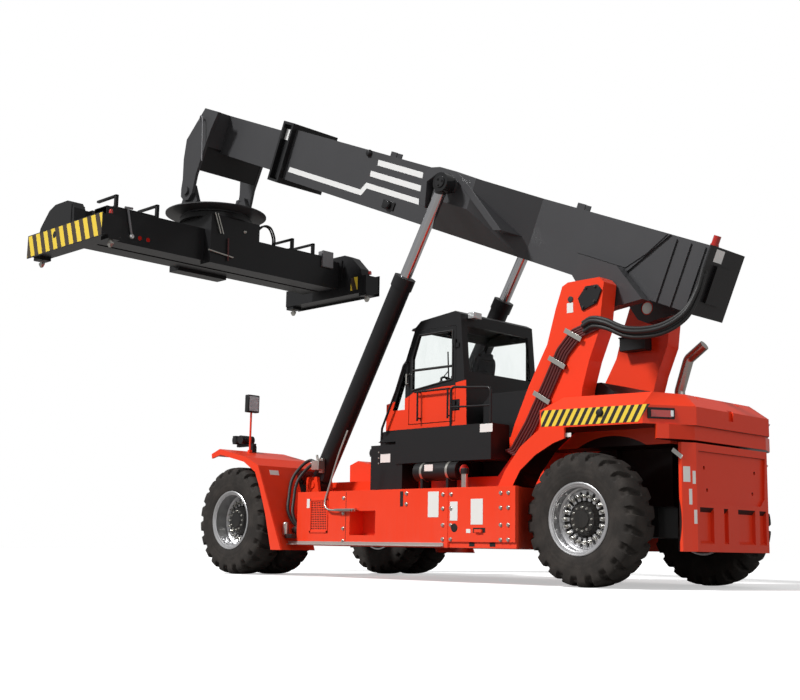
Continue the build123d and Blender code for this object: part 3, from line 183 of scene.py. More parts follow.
def wire(tree, shader, colour, roughness, height=None, depth=0.001, strength=0.6):
    """The shader takes a colour and a roughness, and bumps of a depth in metres from a height."""
    tree.links.new(colour, shader.inputs["Base Color"])
    tree.links.new(roughness, shader.inputs["Roughness"])
    if height is not None:
        bump = put(tree, "Bump", {"Height": height, "Distance": depth, "Strength": strength})
        tree.links.new(bump.outputs[0], shader.inputs["Normal"])


def coated(
    name, colour, roughness, dust, mottle=0.06, gloss=0.0, metal=0.0, peel=0.0004, peel_scale=160.0, shine=0.5
):
    """A sprayed or moulded finish over the shared dust group; gloss is a clear coat's weight."""
    material, tree, shader = new_finish(name)
    plain = {"Metallic": metal, "Coat Weight": gloss, "Coat Roughness": 0.12, "Specular IOR Level": shine}
    for socket, value in plain.items():
        shader.inputs[socket].default_value = value
    settings = {"Paint": (*colour, 1), "Dust Amount": dust, "Mottle": mottle, "Roughness": roughness}
    settings["Peel Scale"] = peel_scale
    group = put(tree, "Group", settings, node_tree=coat_tree)
    wire(tree, shader, group.outputs["Colour"], group.outputs["Roughness"], group.outputs["Height"], peel)
    return material


def repaint(material, colour):
    """The dust group of a coated material takes its paint from a colour socket."""
    coat = next(
        node for node in material.node_tree.nodes
        if node.type == "GROUP" and node.node_tree == coat_tree
    )
    material.node_tree.links.new(colour, coat.inputs["Paint"])


def dress(material, *names):
    """The frame nodes of those names take the material."""
    for name in names:
        nodes[name].data.materials.clear()
        nodes[name].data.materials.append(material)


# The second colour is painted shade, near black, for the rear wheel arches and the underside of the rear
# deck.
red_paint, arch_painted_shade = (0.87, 0.048, 0.012), (0.02, 0.006, 0.005)
orange_red = coated("orange_red_paint", red_paint, 0.38, dust=0.05, gloss=0.15, shine=0.25)
dress(orange_red, "boom_towers", "side_boxes", "front_fenders", "mirror_posts", "cab_panels", "door_panel")
satin_black = coated("satin_black_paint", (0.010, 0.010, 0.011), 0.42, dust=0.05, gloss=0.1, shine=0.3)
dress(
    satin_black, "engine_cover", "cab_frame", "cab_door", "cab_platform", "utility_boxes", "handrails",
    "front_axle", "steer_axle", "boom_collar", "slew_carriage", "spreader_frame", "telescope_beam_left",
    "telescope_beam_right", "lift_barrel_left", "lift_barrel_right",
)

# The same red on the frame and the rear, with painted shade: the red turns near black inside the rear wheel
# arches and on down-facing faces under the rear deck, but not on the outside of the counterweight.
red_paint_with_arch_shade = coated("orange_red_paint_black_arches", red_paint, 0.38, dust=0.05, gloss=0.15, shine=0.25)
tree = red_paint_with_arch_shade.node_tree
arch_x, arch_y, _ = axes_of(tree, own_place(tree))
facing_x, _, facing_up = axes_of(tree, put(tree, "NewGeometry", {}).outputs["True Normal"])
rear_end = reach(tree, arch_x, rear_x - 0.99, rear_x - 1.0)
not_tail = sum_of(tree, 1.0, sum_of(tree, rear_end, reach(tree, facing_x, -0.3, -0.4)), "SUBTRACT")
near_wheel = sum_of(tree, reach(tree, from_line_across(tree, (rear_x, 0, axle_z)), 1.04, 1.03), not_tail)
inboard = reach(tree, sum_of(tree, arch_y, 0.0, "ABSOLUTE"), 1.5, 1.45)
underneath = sum_of(tree, reach(tree, facing_up, -0.3, -0.5), reach(tree, arch_x, rear_x + 1.4, rear_x + 1.3))
# This mask is where the red gives way to painted shade: in the rear wheel arches and under the rear deck.
painted_arch_shade_mask = sum_of(tree, sum_of(tree, near_wheel, inboard), underneath, "MAXIMUM")
repaint(red_paint_with_arch_shade, mixed(tree, painted_arch_shade_mask, (*red_paint, 1), (*arch_painted_shade, 1)))
dress(red_paint_with_arch_shade, "chassis_frame", "hood", "counterweight", "rear_mudguards")
cast_grey = coated(
    "cast_iron_grey", (0.035, 0.034, 0.034), 0.6, dust=0.2, peel=0.0012, peel_scale=90, shine=0.3
)
dress(cast_grey, "engine", "knuckle_left", "knuckle_right")

# ------------------------------ fittings on the side boxes
# Along each side box: hex bolts that hold the bolted-on end section, a folded step along the foot,
# a punched vent, a slot, a round drain hole, a latch in a pocket and plain white information plates.


def unit(vector):
    """The vector at length 1, row by row."""
    vector = np.asarray(vector, float)
    return vector / np.linalg.norm(vector, axis=-1, keepdims=True)


def grid_faces(rows, columns):
    """Quads between neighbours on a grid of rings: each ring is closed, the stack of rings is open."""
    row, column = np.arange(rows - 1)[:, None], np.arange(columns)[None, :]
    following = (column + 1) % columns
    near, far = row * columns, (row + 1) * columns
    corners = (near + column, near + following, far + following, far + column)
    return np.stack(np.broadcast_arrays(*corners), -1).reshape(-1, 4)


def skin(rings):
    """A closed shape through a stack of rings (rows, columns, 3), its first and last ring filled."""
    rows, columns = rings.shape[:2]
    ends = [np.arange(columns)[None, ::-1], np.arange((rows - 1) * columns, rows * columns)[None, :]]
    return rings.reshape(-1, 3), [grid_faces(rows, columns), *ends]


def cut_plate(outline, origin, along, up, thickness):
    """A flat plate: the outline (a, b) lies at origin + a * along + b * up, and again a thickness on."""
    outline, origin = np.asarray(outline, float), np.asarray(origin, float)
    along, up = np.asarray(along, float), np.asarray(up, float)
    flat = origin + outline[:, :1] * along + outline[:, 1:] * up
    return skin(np.stack([flat, flat + unit(np.cross(along, up)) * thickness]))


def oblong(a0, b0, a1, b1):
    """The outline of a rectangle, from its first corner to the opposite one."""
    return [(a0, b0), (a1, b0), (a1, b1), (a0, b1)]


def turned(profile, centre, axis, segments):
    """A turned shape: each (place, radius) of the profile goes round the axis as radius * (cos a, sin a)."""
    profile, axis = np.asarray(profile, float), unit(axis)
    first = unit(np.cross(axis, (0.31, 0.17, 0.93) if abs(axis[2]) < 0.9 else (1, 0, 0)))
    angle = np.linspace(0, 2 * np.pi, segments, endpoint=False)[:, None]
    circle = np.cos(angle) * first + np.sin(angle) * np.cross(axis, first)
    rings = np.asarray(centre, float) + profile[:, :1, None] * axis + profile[:, 1:, None] * circle
    return skin(rings)


def copies(shape, places):
    """The same shape at each place: its points are shifted and its faces count on."""
    points, faces = shape
    places = np.atleast_2d(np.asarray(places, float))
    count_on = (np.arange(len(places)) * len(points))[:, None, None]
    moved = (points[None] + places[:, None]).reshape(-1, 3)
    return moved, [(face[None] + count_on).reshape(-1, face.shape[1]) for face in faces]


def bar(low, high):
    """A straight block between two corners, as a plate on its lowest face."""
    low, high = np.minimum(low, high), np.maximum(low, high)
    size = high - low
    return cut_plate(oblong(0, 0, size[0], size[1]), low, forward, sideways, size[2])


def piece(name, shapes, material, body, soften=None, angle=35):
    """One object from several shapes: points and faces joined, normals turned outwards, riding on a body."""
    points, faces, start = [], [], 0
    for shape_points, shape_faces in shapes:
        points.append(shape_points)
        for face in shape_faces:
            faces += (face + start).tolist()
        start += len(shape_points)
    mesh = bpy.data.meshes.new(name)
    mesh.from_pydata(np.vstack(points).tolist(), [], faces)
    shell = bmesh.new()
    shell.from_mesh(mesh)
    bmesh.ops.recalc_face_normals(shell, faces=shell.faces)
    shell.to_mesh(mesh)
    shell.free()
    mesh.shade_smooth()
    mesh.set_sharp_from_angle(angle=math.radians(angle))
    mesh.materials.append(material)
    made = bpy.data.objects.new(name, mesh)
    scene.collection.objects.link(made)
    if soften:
        bevel = made.modifiers.new("eased_edges", "BEVEL")
        bevel.width, bevel.segments, bevel.limit_method = soften, 2, "ANGLE"
    if body:
        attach(made, body)
    return made


def plate_at(centre, width, height, side, proud=0.003):
    """A plate on an upright side face: width along x, height along z, standing proud of y."""
    x, y, z = centre
    outline = oblong(-width / 2, -height / 2, width / 2, height / 2)
    return cut_plate(outline, (x, y + side * proud, z), forward, upright, 0.002 * side)


def bolt_head(axis, size=0.022):
    """A hex head with a washer under it and a chamfered top."""
    profile = [(-0.004, size * 1.3), (0.004, size * 1.3), (0.004, size), (0.016, size), (0.02, size * 0.8)]
    return turned(profile, (0, 0, 0), axis, 6)


bright_steel = coated("zinc_plated_steel", (0.55, 0.54, 0.5), 0.32, dust=0.1, metal=0.9, peel=0.00005)
label_white = coated("white_plate", (0.78, 0.77, 0.74), 0.45, dust=0.06, mottle=0.04)
# Near black discs and strips: painted shade in the punched vent, slot, drain hole, latch pocket and the
# openings at the foot; the thin upright strip is the dark seam of the bolted-on end section.
opening_painted_shade = coated("black_opening", (0.004, 0.004, 0.004), 0.8, dust=0.0)
step_grey = coated(
    "worn_step_steel", (0.42, 0.36, 0.34), 0.5, dust=0.25, metal=0.4, mottle=0.3, peel=0.002, peel_scale=60,
)
box_low, box_high = span("side_boxes")
skirt_x, skirt_top, skirt_foot = box_high[0], box_high[2], box_low[2]
for side, hand in both_sides:
    y = side * box_high[1]
    rows = skirt_top - np.array([0.085, 0.265, 0.475, 0.655])
    columns = skirt_x - np.array([2.88, 3.02, 3.85, 3.97])
    grid_x, grid_z = np.meshgrid(columns, rows)
    bolts = np.stack([grid_x.ravel(), np.full(16, y), grid_z.ravel()], -1)
    slot_bolts = [(skirt_x - 2.22, y, skirt_top - down) for down in (0.06, 0.2)]
    slot_bolts += [(skirt_x - 0.99, y, skirt_top - down) for down in (0.1, 0.31, 0.52, 0.69)]
    heads = copies(bolt_head((0, side, 0)), np.vstack([bolts, slot_bolts]))
    piece(f"side_box_bolts_{hand}", [heads], bright_steel, "chassis")
    plate_rows = (
        (2.71, 0.21, 0.19, 0.33), (3.07, 0.30, 0.13, 0.24), (3.46, 0.31, 0.2, 0.32), (3.32, 0.55, 0.07, 0.05),
        (0.25, 0.165, 0.08, 0.13),
    )
    plates = [
        plate_at((skirt_x - a, y, skirt_top - b), width, height, side)
        for a, b, width, height in plate_rows
    ]
    piece(f"side_box_plates_{hand}", plates, label_white, "chassis")
    hole = turned([(0.001, 0.055), (0.006, 0.05)], (skirt_x - 3.08, y, skirt_top - 0.51), (0, side, 0), 24)
    vent_x, vent_z = np.meshgrid(skirt_x - np.linspace(0.33, 0.62, 9), np.linspace(0.68, 1.04, 12))
    punched = np.stack([vent_x.ravel(), np.full(vent_x.size, y), vent_z.ravel()], -1)
    openings = [
        hole,
        copies(turned([(0.001, 0.011), (0.003, 0.01)], (0, 0, 0), (0, side, 0), 8), punched),
        plate_at((skirt_x - 2.13, y, skirt_top - 0.13), 0.055, 0.2, side),
        plate_at(
            (skirt_x - 1.04, y, (skirt_top + skirt_foot) / 2),
            0.008, skirt_top - skirt_foot - 0.03, side, 0.001,
        ),
        plate_at((skirt_x - 3.5, y, skirt_top - 0.54), 0.2, 0.06, side),
        *(
            plate_at((skirt_x - a, y - 0.025 * side, skirt_foot + 0.045), 0.09, 0.05, side)
            for a in (3.36, 3.70)
        ),
    ]
    piece(f"side_box_openings_{hand}", openings, opening_painted_shade, "chassis")
    step = [(0, 0), (0.05, 0), (0.05, 0.012), (0.012, 0.012), (0.012, 0.05), (0, 0.05)]
    folded = cut_plate(
        [(side * a, b) for a, b in step], (skirt_x + 0.2, y, skirt_foot + 0.01), sideways, upright, -3.1
    )
    catch = bar(
        (skirt_x - 3.44, y - 0.002, skirt_top - 0.57), (skirt_x - 3.56, y + side * 0.03, skirt_top - 0.53)
    )
    frame_rows = (
        (0.28, 0.1, 0.67, 0.13), (0.28, 0.58, 0.67, 0.55), (0.28, 0.1, 0.31, 0.58), (0.64, 0.1, 0.67, 0.58)
    )
    frame_bars = [
        bar((skirt_x - a, y, skirt_top - b), (skirt_x - c, y + side * 0.012, skirt_top - d))
        for a, b, c, d in frame_rows
    ]
    piece(f"side_box_latch_{hand}", [catch, *frame_bars], orange_red, "chassis", soften=0.003)
    piece(f"side_box_step_{hand}", [folded], step_grey, "chassis", soften=0.003)

# ------------------------------ tyres
# Large off-road tyres, moulded in black rubber: two rows of deep shoulder lugs that meet at the
# crown, a smooth sidewall with raised rings, and dry dust in the grooves.
tyre_lugs, lug_steps, lug_twist, groove_depth, ring_height = 21, 18, 0.22, 0.042, 0.002
tyre_half = (span("rear_tyre_left")[1][1] - span("rear_tyre_left")[0][1]) / 2


def closed_skin(rings):
    """A ring-shaped shell through a stack of rings that closes on itself both ways."""
    rows, columns = rings.shape[:2]
    faces = grid_faces(rows + 1, columns) % (rows * columns)
    return rings.reshape(-1, 3), [faces]


def eased(points, steps=8):
    """A smooth line through the points: on each span a cubic in t through its four nearest points."""
    points = np.asarray(points, float)
    held = np.vstack([2 * points[0] - points[1], points, 2 * points[-1] - points[-2]])
    t = np.linspace(0, 1, steps, endpoint=False)[None, :, None]
    a, b, c, d = (held[i:len(held) - 3 + i][:, None] for i in range(4))
    line = b + 0.5 * ((c - a) * t + (2 * a - 5 * b + 4 * c - d) * t**2 + (3 * b - a - 3 * c + d) * t**3)
    return np.vstack([line.reshape(-1, points.shape[1]), points[-1:]])


def eased_step(value):
    """0 below 0, 1 above 1, and 3 v^2 - 2 v^3 between."""
    value = np.clip(value, 0, 1)
    return value * value * (3 - 2 * value)


def lugged_tyre(centre):
    """A tyre: its cross-section goes round the axle, sunk by the groove depth where no lug stands.

    A point is centre + (r cos a, y, r sin a). With p the place within one lug's pitch, a groove
    opens where |p - 1/2| nears 1/2, wider towards the shoulder, and fades out down the sidewall.
    """
    half = eased([
        (0.0, 0.798), (0.08, 0.797), (0.15, 0.792), (0.2, 0.778), (0.231, 0.742), (0.244, 0.69),
        (0.249, 0.62), (0.249, 0.55), (0.243, 0.49), (0.232, 0.447), (0.214, 0.415), (0.19, 0.402),
    ], 4)
    across = np.vstack([half[::-1] * (-1, 1), half[1:]])
    y, r = across[:, 0][:, None] * tyre_half / 0.25, across[:, 1][:, None]
    slope = np.gradient(across, axis=0)
    sunk = unit(np.stack([-slope[:, 1], slope[:, 0]], -1))
    outwards = np.sign(np.sum(sunk * (across - (0, 0.6)), axis=1))[:, None]
    sunk = sunk * -outwards
    angle = np.linspace(0, 2 * np.pi, tyre_lugs * lug_steps, endpoint=False)[None, :]
    reach_out = np.abs(y) / tyre_half
    place = angle / (2 * np.pi) * tyre_lugs + np.where(y > 0, 0.5, 0.0) + lug_twist * reach_out**2
    off_middle = np.abs(place % 1 - 0.5)
    groove_share = 0.09 + 0.15 * reach_out
    groove = eased_step((off_middle - (0.5 - groove_share)) / 0.06)
    groove = groove * eased_step((reach_out - 0.1) / 0.1) * eased_step((r - 0.66) / 0.06)
    rings = ring_height * np.sin(np.clip((r - 0.5) / 0.1, 0, 1) * 4 * np.pi)
    depth = groove_depth * groove - rings * (r < 0.61)
    y = y + sunk[:, :1] * depth
    r = r + sunk[:, 1:] * depth
    grid = np.stack([r * np.cos(angle - np.pi / 2), y + 0 * angle, r * np.sin(angle - np.pi / 2)], -1)
    return closed_skin(grid + np.asarray(centre))


rubber, tree, shader = new_finish("moulded_rubber")
rubber_mottle = speckle(tree, 5.0, 4.0)
rubber_grit = speckle(tree, 90.0, 3.0)
rubber_patches = reach(tree, rubber_mottle, 0.35, 0.7)
rubber_tone = mixed(tree, rubber_patches, (0.021, 0.018, 0.016, 1), (0.038, 0.032, 0.028, 1))
rubber_dust = sum_of(tree, reach(tree, rubber_grit, 0.5, 0.8), 0.25)
rubber_tone = mixed(tree, rubber_dust, rubber_tone, (0.09, 0.078, 0.066, 1))
wire(tree, shader, rubber_tone, reach(tree, rubber_grit, -0.6, 0.9), rubber_grit, 0.001, 0.7)
shader.inputs["Specular IOR Level"].default_value = 0.3
dress(rubber, "front_tyres_left", "front_tyres_right", "rear_tyre_left", "rear_tyre_right")
dual_step, outer_inset = 0.6, 0.252


def outer_middle(side, hand):
    """Where across the machine the middle of a front wheel's outer tyre stands."""
    return side * (np.abs(span(f"front_tyres_{hand}")[0 if side < 0 else 1][1]) - outer_inset)


for side, hand in both_sides:
    outer = outer_middle(side, hand)
    pair = [lugged_tyre((front_x, y, axle_z)) for y in (outer, outer - side * dual_step)]
    front = piece(f"front_tyres_{hand}_lugged", pair, rubber, f"front_wheels_{hand}", angle=50)
    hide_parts(f"front_tyres_{hand}")
    middle = sum(span(f"rear_tyre_{hand}"))[1] / 2
    single = lugged_tyre((rear_x, middle, axle_z))
    rear = piece(f"rear_tyre_{hand}_lugged", [single], rubber, f"rear_wheel_{hand}", angle=50)
    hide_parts(f"rear_tyre_{hand}")

# ------------------------------ rims and hubs
# Rolled steel rims with a lock ring, painted silver; a dished disc carries a ring of wheel nuts on
# long studs, and the planetary hub in the middle is black with its own small cap bolts.
rim_silver = coated(
    "silver_rim_paint", (0.6, 0.6, 0.61), 0.3, dust=0.06, metal=0.8, gloss=0.2, peel=0.0002, peel_scale=9.0,
)
hub_black = coated("hub_black_paint", (0.008, 0.008, 0.008), 0.38, dust=0.06, gloss=0.2, shine=0.35)
dress(rim_silver, "front_rims_left", "front_rims_right", "rear_rim_left", "rear_rim_right")


def ring_turned(profile, centre, axis):
    """A ring: the closed profile of (place, radius) goes round the axis and ends where it began."""
    segments = 72
    points, _ = turned(profile, centre, axis, segments)
    return closed_skin(points.reshape(len(profile), segments, 3))


def round_the_axle(shape, centre, count, start=0.0):
    """The shape again at equal turns about an axle along y through the centre."""
    points, faces = shape
    centre = np.asarray(centre, float)
    turn = start + np.linspace(0, 2 * np.pi, count, endpoint=False)[:, None]
    from_centre = (points - centre)[None]
    x = from_centre[..., 0] * np.cos(turn) + from_centre[..., 2] * np.sin(turn)
    z = from_centre[..., 2] * np.cos(turn) - from_centre[..., 0] * np.sin(turn)
    spun = np.stack([x, from_centre[..., 1] + 0 * x, z], -1) + centre
    count_on = (np.arange(count) * len(points))[:, None, None]
    return spun.reshape(-1, 3), [(face[None] + count_on).reshape(-1, face.shape[1]) for face in faces]


def rim_shapes(centre, side, dish):
    """Rim band with its rolled lips and lock ring, and the disc set off by dish, for one wheel."""
    axis = (0, side, 0)
    band = [
        (-0.216, 0.377), (-0.216, 0.399), (-0.19, 0.4), (0.19, 0.4), (0.213, 0.402), (0.222, 0.414),
        (0.226, 0.432), (0.236, 0.435), (0.242, 0.426), (0.238, 0.41), (0.228, 0.402), (0.226, 0.392),
        (0.216, 0.388), (0.212, 0.377),
    ]
    cone = [(-0.004, 0.376), (0.05, 0.377), (0.042, 0.366), (0.024, 0.345), (0.022, 0.322), (-0.002, 0.322)]
    cone = [(dish + place, radius) for place, radius in cone]
    return [ring_turned(band, centre, axis), ring_turned(cone, centre, axis)]


def stud(centre, side, place, radius):
    """A wheel nut on its stud: a washer, a hex nut and the stud's end, at a radius above the axle."""
    nut = [
        (-0.002, 0.026), (0.006, 0.026), (0.006, 0.02), (0.03, 0.02),
        (0.034, 0.012), (0.06, 0.012), (0.062, 0.01),
    ]
    return turned(nut, np.asarray(centre) + (0, side * place, radius), (0, side, 0), 6)


def clamp_block(centre, side, place):
    """A wedge clamp: a tapered block that runs from the hub out to the rim's disc, above the axle."""
    outline = [(-0.034, 0.335), (0.034, 0.335), (0.026, 0.3), (0.019, 0.222), (-0.019, 0.222), (-0.026, 0.3)]
    return cut_plate(outline, np.asarray(centre) + (0, side * place, 0), forward, upright, -0.034 * side)


def hub_shapes(centre, side, foot, face):
    """A stepped hub from its flange to its face, with a ring of cap bolts."""
    steps = [
        (foot, 0.33), (foot + 0.012, 0.33), (foot + 0.014, 0.215), (face - 0.06, 0.2), (face - 0.04, 0.18),
        (face - 0.02, 0.172), (face - 0.015, 0.11), (face, 0.1), (face + 0.004, 0.03),
    ]
    cap = copies(bolt_head((0, side, 0), 0.012), [np.asarray(centre) + (0, side * (face - 0.018), 0.14)])
    return turned(steps, centre, (0, side, 0), 48), round_the_axle(cap, centre, 12)


stud_circle, stud_count = 0.275, 20
for side, hand in both_sides:
    wheels = []
    outer = outer_middle(side, hand)
    for middle, dish in ((outer, -0.03), (outer - side * dual_step, 0.1)):
        wheels += rim_shapes((front_x, middle, axle_z), side, dish)
    inner_end = span(f"front_rims_{hand}")[0 if side > 0 else 1][1]
    centre = np.array((front_x, outer, axle_z))
    nuts = round_the_axle(stud(centre, side, 0.02, stud_circle), centre, stud_count)
    hub, caps = hub_shapes(centre, side, -0.028, 0.13)
    drum = turned([(side * (inner_end - outer), 0.235), (-0.03, 0.235)], centre, (0, side, 0), 48)
    wheels.append(round_the_axle(clamp_block(centre, side, -0.014), centre, stud_count))
    rims = piece(f"front_rims_{hand}_rolled", wheels, rim_silver, f"front_wheels_{hand}")
    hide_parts(f"front_rims_{hand}")
    piece(f"front_hub_{hand}", [hub, drum], hub_black, f"front_wheels_{hand}")
    piece(
        f"front_wheel_nuts_{hand}", [nuts, caps], bright_steel, f"front_wheels_{hand}", angle=25
    )

    centre = np.array((rear_x, sum(span(f"rear_tyre_{hand}"))[1] / 2, axle_z))
    wheels = [
        *rim_shapes(centre, side, 0.05), round_the_axle(clamp_block(centre, side, 0.066), centre, stud_count)
    ]
    rims = piece(f"rear_rim_{hand}_rolled", wheels, rim_silver, f"rear_wheel_{hand}")
    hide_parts(f"rear_rim_{hand}")
    hub, caps = hub_shapes(centre, side, 0.052, 0.165)
    back = turned([(0.0, 0.13), (0.005, 0.23), (0.056, 0.235)], centre, (0, side, 0), 48)
    piece(f"rear_hub_{hand}", [hub, back], hub_black, f"rear_wheel_{hand}")
    nuts = round_the_axle(stud(centre, side, 0.1, stud_circle), centre, stud_count)
    piece(f"rear_wheel_nuts_{hand}", [nuts, caps], bright_steel, f"rear_wheel_{hand}", angle=25)

# ------------------------------ hood trim and lamps
# Slanted black and yellow warning bands lie on both front ends of the hood's sides; the rear corners
# carry red lamps in black frames. The exhaust is a bright bent pipe with a slashed end.
stripe_tree, stripe_in, stripe_out = shader_group(
    "warning_stripes",
    [
        ("Direction", "Vector", (1, 0, 0)), ("Pitch", "Float", 0.2),
        ("Yellow", "Color", (0.88, 0.63, 0.05, 1)),
        ("Black", "Color", (0.012, 0.012, 0.012, 1)), ("Share", "Float", 0.5),
    ],
    [("Colour", "Color"), ("Mask", "Float")],
)
tree = stripe_tree
stripe_links = {0: own_place(tree), 1: stripe_in["Direction"]}
stripe_run = put(tree, "VectorMath", stripe_links, operation="DOT_PRODUCT").outputs["Value"]
turns = sum_of(tree, stripe_run, stripe_in["Pitch"], "DIVIDE")
part_way = put(tree, "Math", {0: turns}, operation="FRACT").outputs[0]
is_yellow = sum_of(tree, part_way, stripe_in["Share"], "LESS_THAN")
tree.links.new(mixed(tree, is_yellow, stripe_in["Black"], stripe_in["Yellow"]), stripe_out["Colour"])
tree.links.new(is_yellow, stripe_out["Mask"])


def striped(name, direction, pitch, share, black=(0.012, 0.012, 0.012)):
    """Warning bands across a direction in metres, over the shared dust group."""
    material = coated(name, (0.8, 0.5, 0.02), 0.4, dust=0.08, gloss=0.1)
    settings = {"Direction": direction, "Pitch": pitch, "Share": share, "Black": (*black, 1)}
    repaint(material, put(material.node_tree, "Group", settings, node_tree=stripe_tree).outputs["Colour"])
    return material


hood_low, hood_high = span("hood")
hood_stripes = striped("hood_warning_band", (-1, 0, -0.55), 0.1, 0.52)
# The hood narrows by 0.18 m over the 1.37 m of its sides.
side_fall = 0.18 / 1.37
band_end, band_height, band_gap = 0.02, 0.19, 0.0005
for side, hand in both_sides:
    run = unit((-1, -side * side_fall, 0))
    start = np.array((hood_high[0] - band_end, side * (hood_high[1] + band_gap), hood_low[2] + band_height))
    outline = [(0, 0.0), (1.3, 0.0), (1.46, 0.2), (0.03, 0.2), (0, 0.17)]
    band = cut_plate(outline, start, run, upright, -0.002 * side)
    piece(f"hood_warning_band_{hand}", [band], hood_stripes, "chassis")
    side_plate = cut_plate(
        oblong(0, 0, 0.32, 0.05), start + run * 0.1 + (0, 0, -0.14), run, upright, -0.002 * side
    )
    piece(f"hood_side_plate_{hand}", [side_plate], label_white, "chassis")

lamp_red = coated(
    "red_lamp_lens", (0.5, 0.012, 0.006), 0.12, dust=0.02, gloss=0.8, peel=0.0015, peel_scale=60
)
dress(lamp_red, "beacon", "hood_lamps")
black_plastic = coated(
    "moulded_black_plastic", (0.012, 0.012, 0.013), 0.5, dust=0.04, peel=0.0006, peel_scale=260, shine=0.35,
)
dress(black_plastic, "front_lamps", "steering_console", "seat_base")
lens_clear = coated(
    "clear_lamp_lens", (0.7, 0.72, 0.72), 0.1, dust=0.02, metal=0.5, gloss=0.8, peel=0.001, peel_scale=80,
)
silvering = coated(
    "mirror_silvering", (0.42, 0.45, 0.48), 0.2, dust=0.05, gloss=0.5, peel=0.0001, peel_scale=5.0
)
exhaust_steel = coated(
    "heat_tinted_steel", (0.5, 0.47, 0.44), 0.25, dust=0.05, metal=1.0, mottle=0.2, peel=0.0003
)
dress(exhaust_steel, "exhaust_stack")

lamp_high = span("front_lamps")[1]
tail_low, tail_high = span("hood_lamps")
weight_low, weight_high = span("counterweight")
for side, hand in both_sides:
    lens_place = (lamp_high[0] - 0.003, side * (lamp_high[1] - 0.13), lamp_high[2] - 0.065)
    lens = turned([(0, 0.055), (0.006, 0.053), (0.012, 0.04), (0.015, 0.01)], lens_place, forward, 32)
    corner, outward = unit((-0.55, -side * 0.83, 0)), unit((-0.83, side * 0.55, 0))
    middle = (tail_low + tail_high) / 2
    middle[1] = side * (tail_high[1] - 0.11)
    lamp_frame = cut_plate(
        oblong(-0.17, -0.06, 0.17, 0.07), middle - outward * 0.012, corner, upright, 0.014 * side
    )
    knob_place = (hood_high[0] - 0.82, side * 1.492, hood_low[2] + 0.32)
    knob = turned([(0, 0.05), (0.012, 0.048), (0.03, 0.036), (0.034, 0.01)], knob_place, (-0.13, side, 0), 20)
    piece(
        f"hood_lamp_frame_{hand}", [lamp_frame, knob], black_plastic, "chassis", soften=0.004
    )
    white_lens = cut_plate(
        oblong(0.115, -0.03, 0.15, 0.04), middle + outward * 0.001, corner, upright, 0.008 * side
    )
    piece(f"lamp_lenses_{hand}", [lens, white_lens], lens_clear, "chassis")
    sloped = unit((-0.5, -side * 0.87, 0))
    corner_x, corner_y = weight_low[0] + 0.1, side * weight_high[1]
    label_rows = (
        (0.02, 1.24, 0.11, 1.42), (0.14, 1.22, 0.18, 1.37), (0.09, 0.98, 0.13, 1.16),
        (0.15, 0.76, 0.19, 0.92),
    )
    labels = [
        cut_plate(oblong(*row), (corner_x - 0.003, corner_y, 0), sloped, upright, 0.002)
        for row in label_rows
    ]
    slant_place = (corner_x + 0.13, corner_y + side * 0.001, 1.6)
    labels.append(cut_plate(oblong(0, 0, 0.16, 0.05), slant_place, (-0.8, 0, -0.6), (-0.6, 0, 0.8), 0.002))
    piece(f"counterweight_labels_{hand}", labels, label_white, "chassis")

# ------------------------------ cab glass
# Tinted safety glass bonded into the cab's frame, with a thin film of dust.
glass, tree, shader = new_finish("tinted_safety_glass")
shader.inputs["Transmission Weight"].default_value = 1.0
shader.inputs["IOR"].default_value = 1.06
glass_film = reach(tree, speckle(tree, 3.0, 4.0, (1, 1, 0.4)), 0.35, 0.9)
glass_tint = mixed(tree, glass_film, (0.95, 0.97, 0.965, 1), (0.86, 0.89, 0.88, 1))
wire(tree, shader, glass_tint, sum_of(tree, glass_film, 0.06))
dress(glass, "cab_glass", "door_glass")

# ------------------------------ cab fittings
# On the welded cab: black rubber seals round the windows, a visor and work lamps over the roof, a wiper,
# a waist bar, a door handle; inside, armrests with levers and a screen on its arm. On the front fenders,
# silvered mirrors in black plastic shells, clamped to their posts.


def tube(path, radius, sides, beside=(0.13, 0.21, 0.97)):
    """A round bar or hose: a circle of the radius is carried along the path, square to it."""
    path = np.asarray(path, float)
    ahead = unit(np.gradient(path, axis=0))
    across = unit(np.cross(ahead, beside))
    other = np.cross(ahead, across)
    angle = np.linspace(0, 2 * np.pi, sides, endpoint=False)[None, :, None]
    circle = np.cos(angle) * across[:, None] + np.sin(angle) * other[:, None]
    radius = np.broadcast_to(np.asarray(radius, float), len(path))[:, None, None]
    return skin(path[:, None] + radius * circle)


def beam(start, end, half):
    """A square bar between two points, its faces half and its corners root 2 times half from its middle."""
    root_2 = 1.414
    return tube([start, end], half * root_2, 4)


cab_low, cab_high = span("cab_frame")
cab_y = cab_high[1] - 0.034
door_low, door_high = span("door_glass")
seal_rubber = coated("window_seal_rubber", (0.01, 0.01, 0.01), 0.7, dust=0.05, peel=0.0008, peel_scale=300)
cab_x0, cab_x1, cab_z1 = cab_low[0], cab_high[0], cab_high[2]
visor_line = [(0, 0), (0.34, -0.07), (0.36, -0.1), (0.3, -0.1), (0, -0.03)]
visor = cut_plate(visor_line, (cab_x1 - 0.68, -0.62, cab_z1 - 0.05), forward, upright, -1.24)
rib_start, rib_end = (cab_x0 + 0.32, 0, cab_z1 + 0.001), (cab_x1 - 0.72, 0, cab_z1 - 0.055)
roof_ribs = [
    beam(np.add(rib_start, (0, y, 0)), np.add(rib_end, (0, y, 0)), 0.012)
    for y in (-0.5, -0.17, 0.17, 0.5)
]
roof_lamps = [
    bar((cab_x1 - 0.62, y - 0.09, cab_z1 - 0.1), (cab_x1 - 0.5, y + 0.09, cab_z1 - 0.01)) for y in (-0.5, 0.5)
]
rear_lamp = bar((cab_x0 + 0.02, 0.48, cab_z1 - 0.11), (cab_x0 + 0.135, 0.66, cab_z1 - 0.02))
piece("cab_rear_lamp", [rear_lamp], lens_clear, "chassis", soften=0.01)
post_low, post_high = span("mirror_posts")
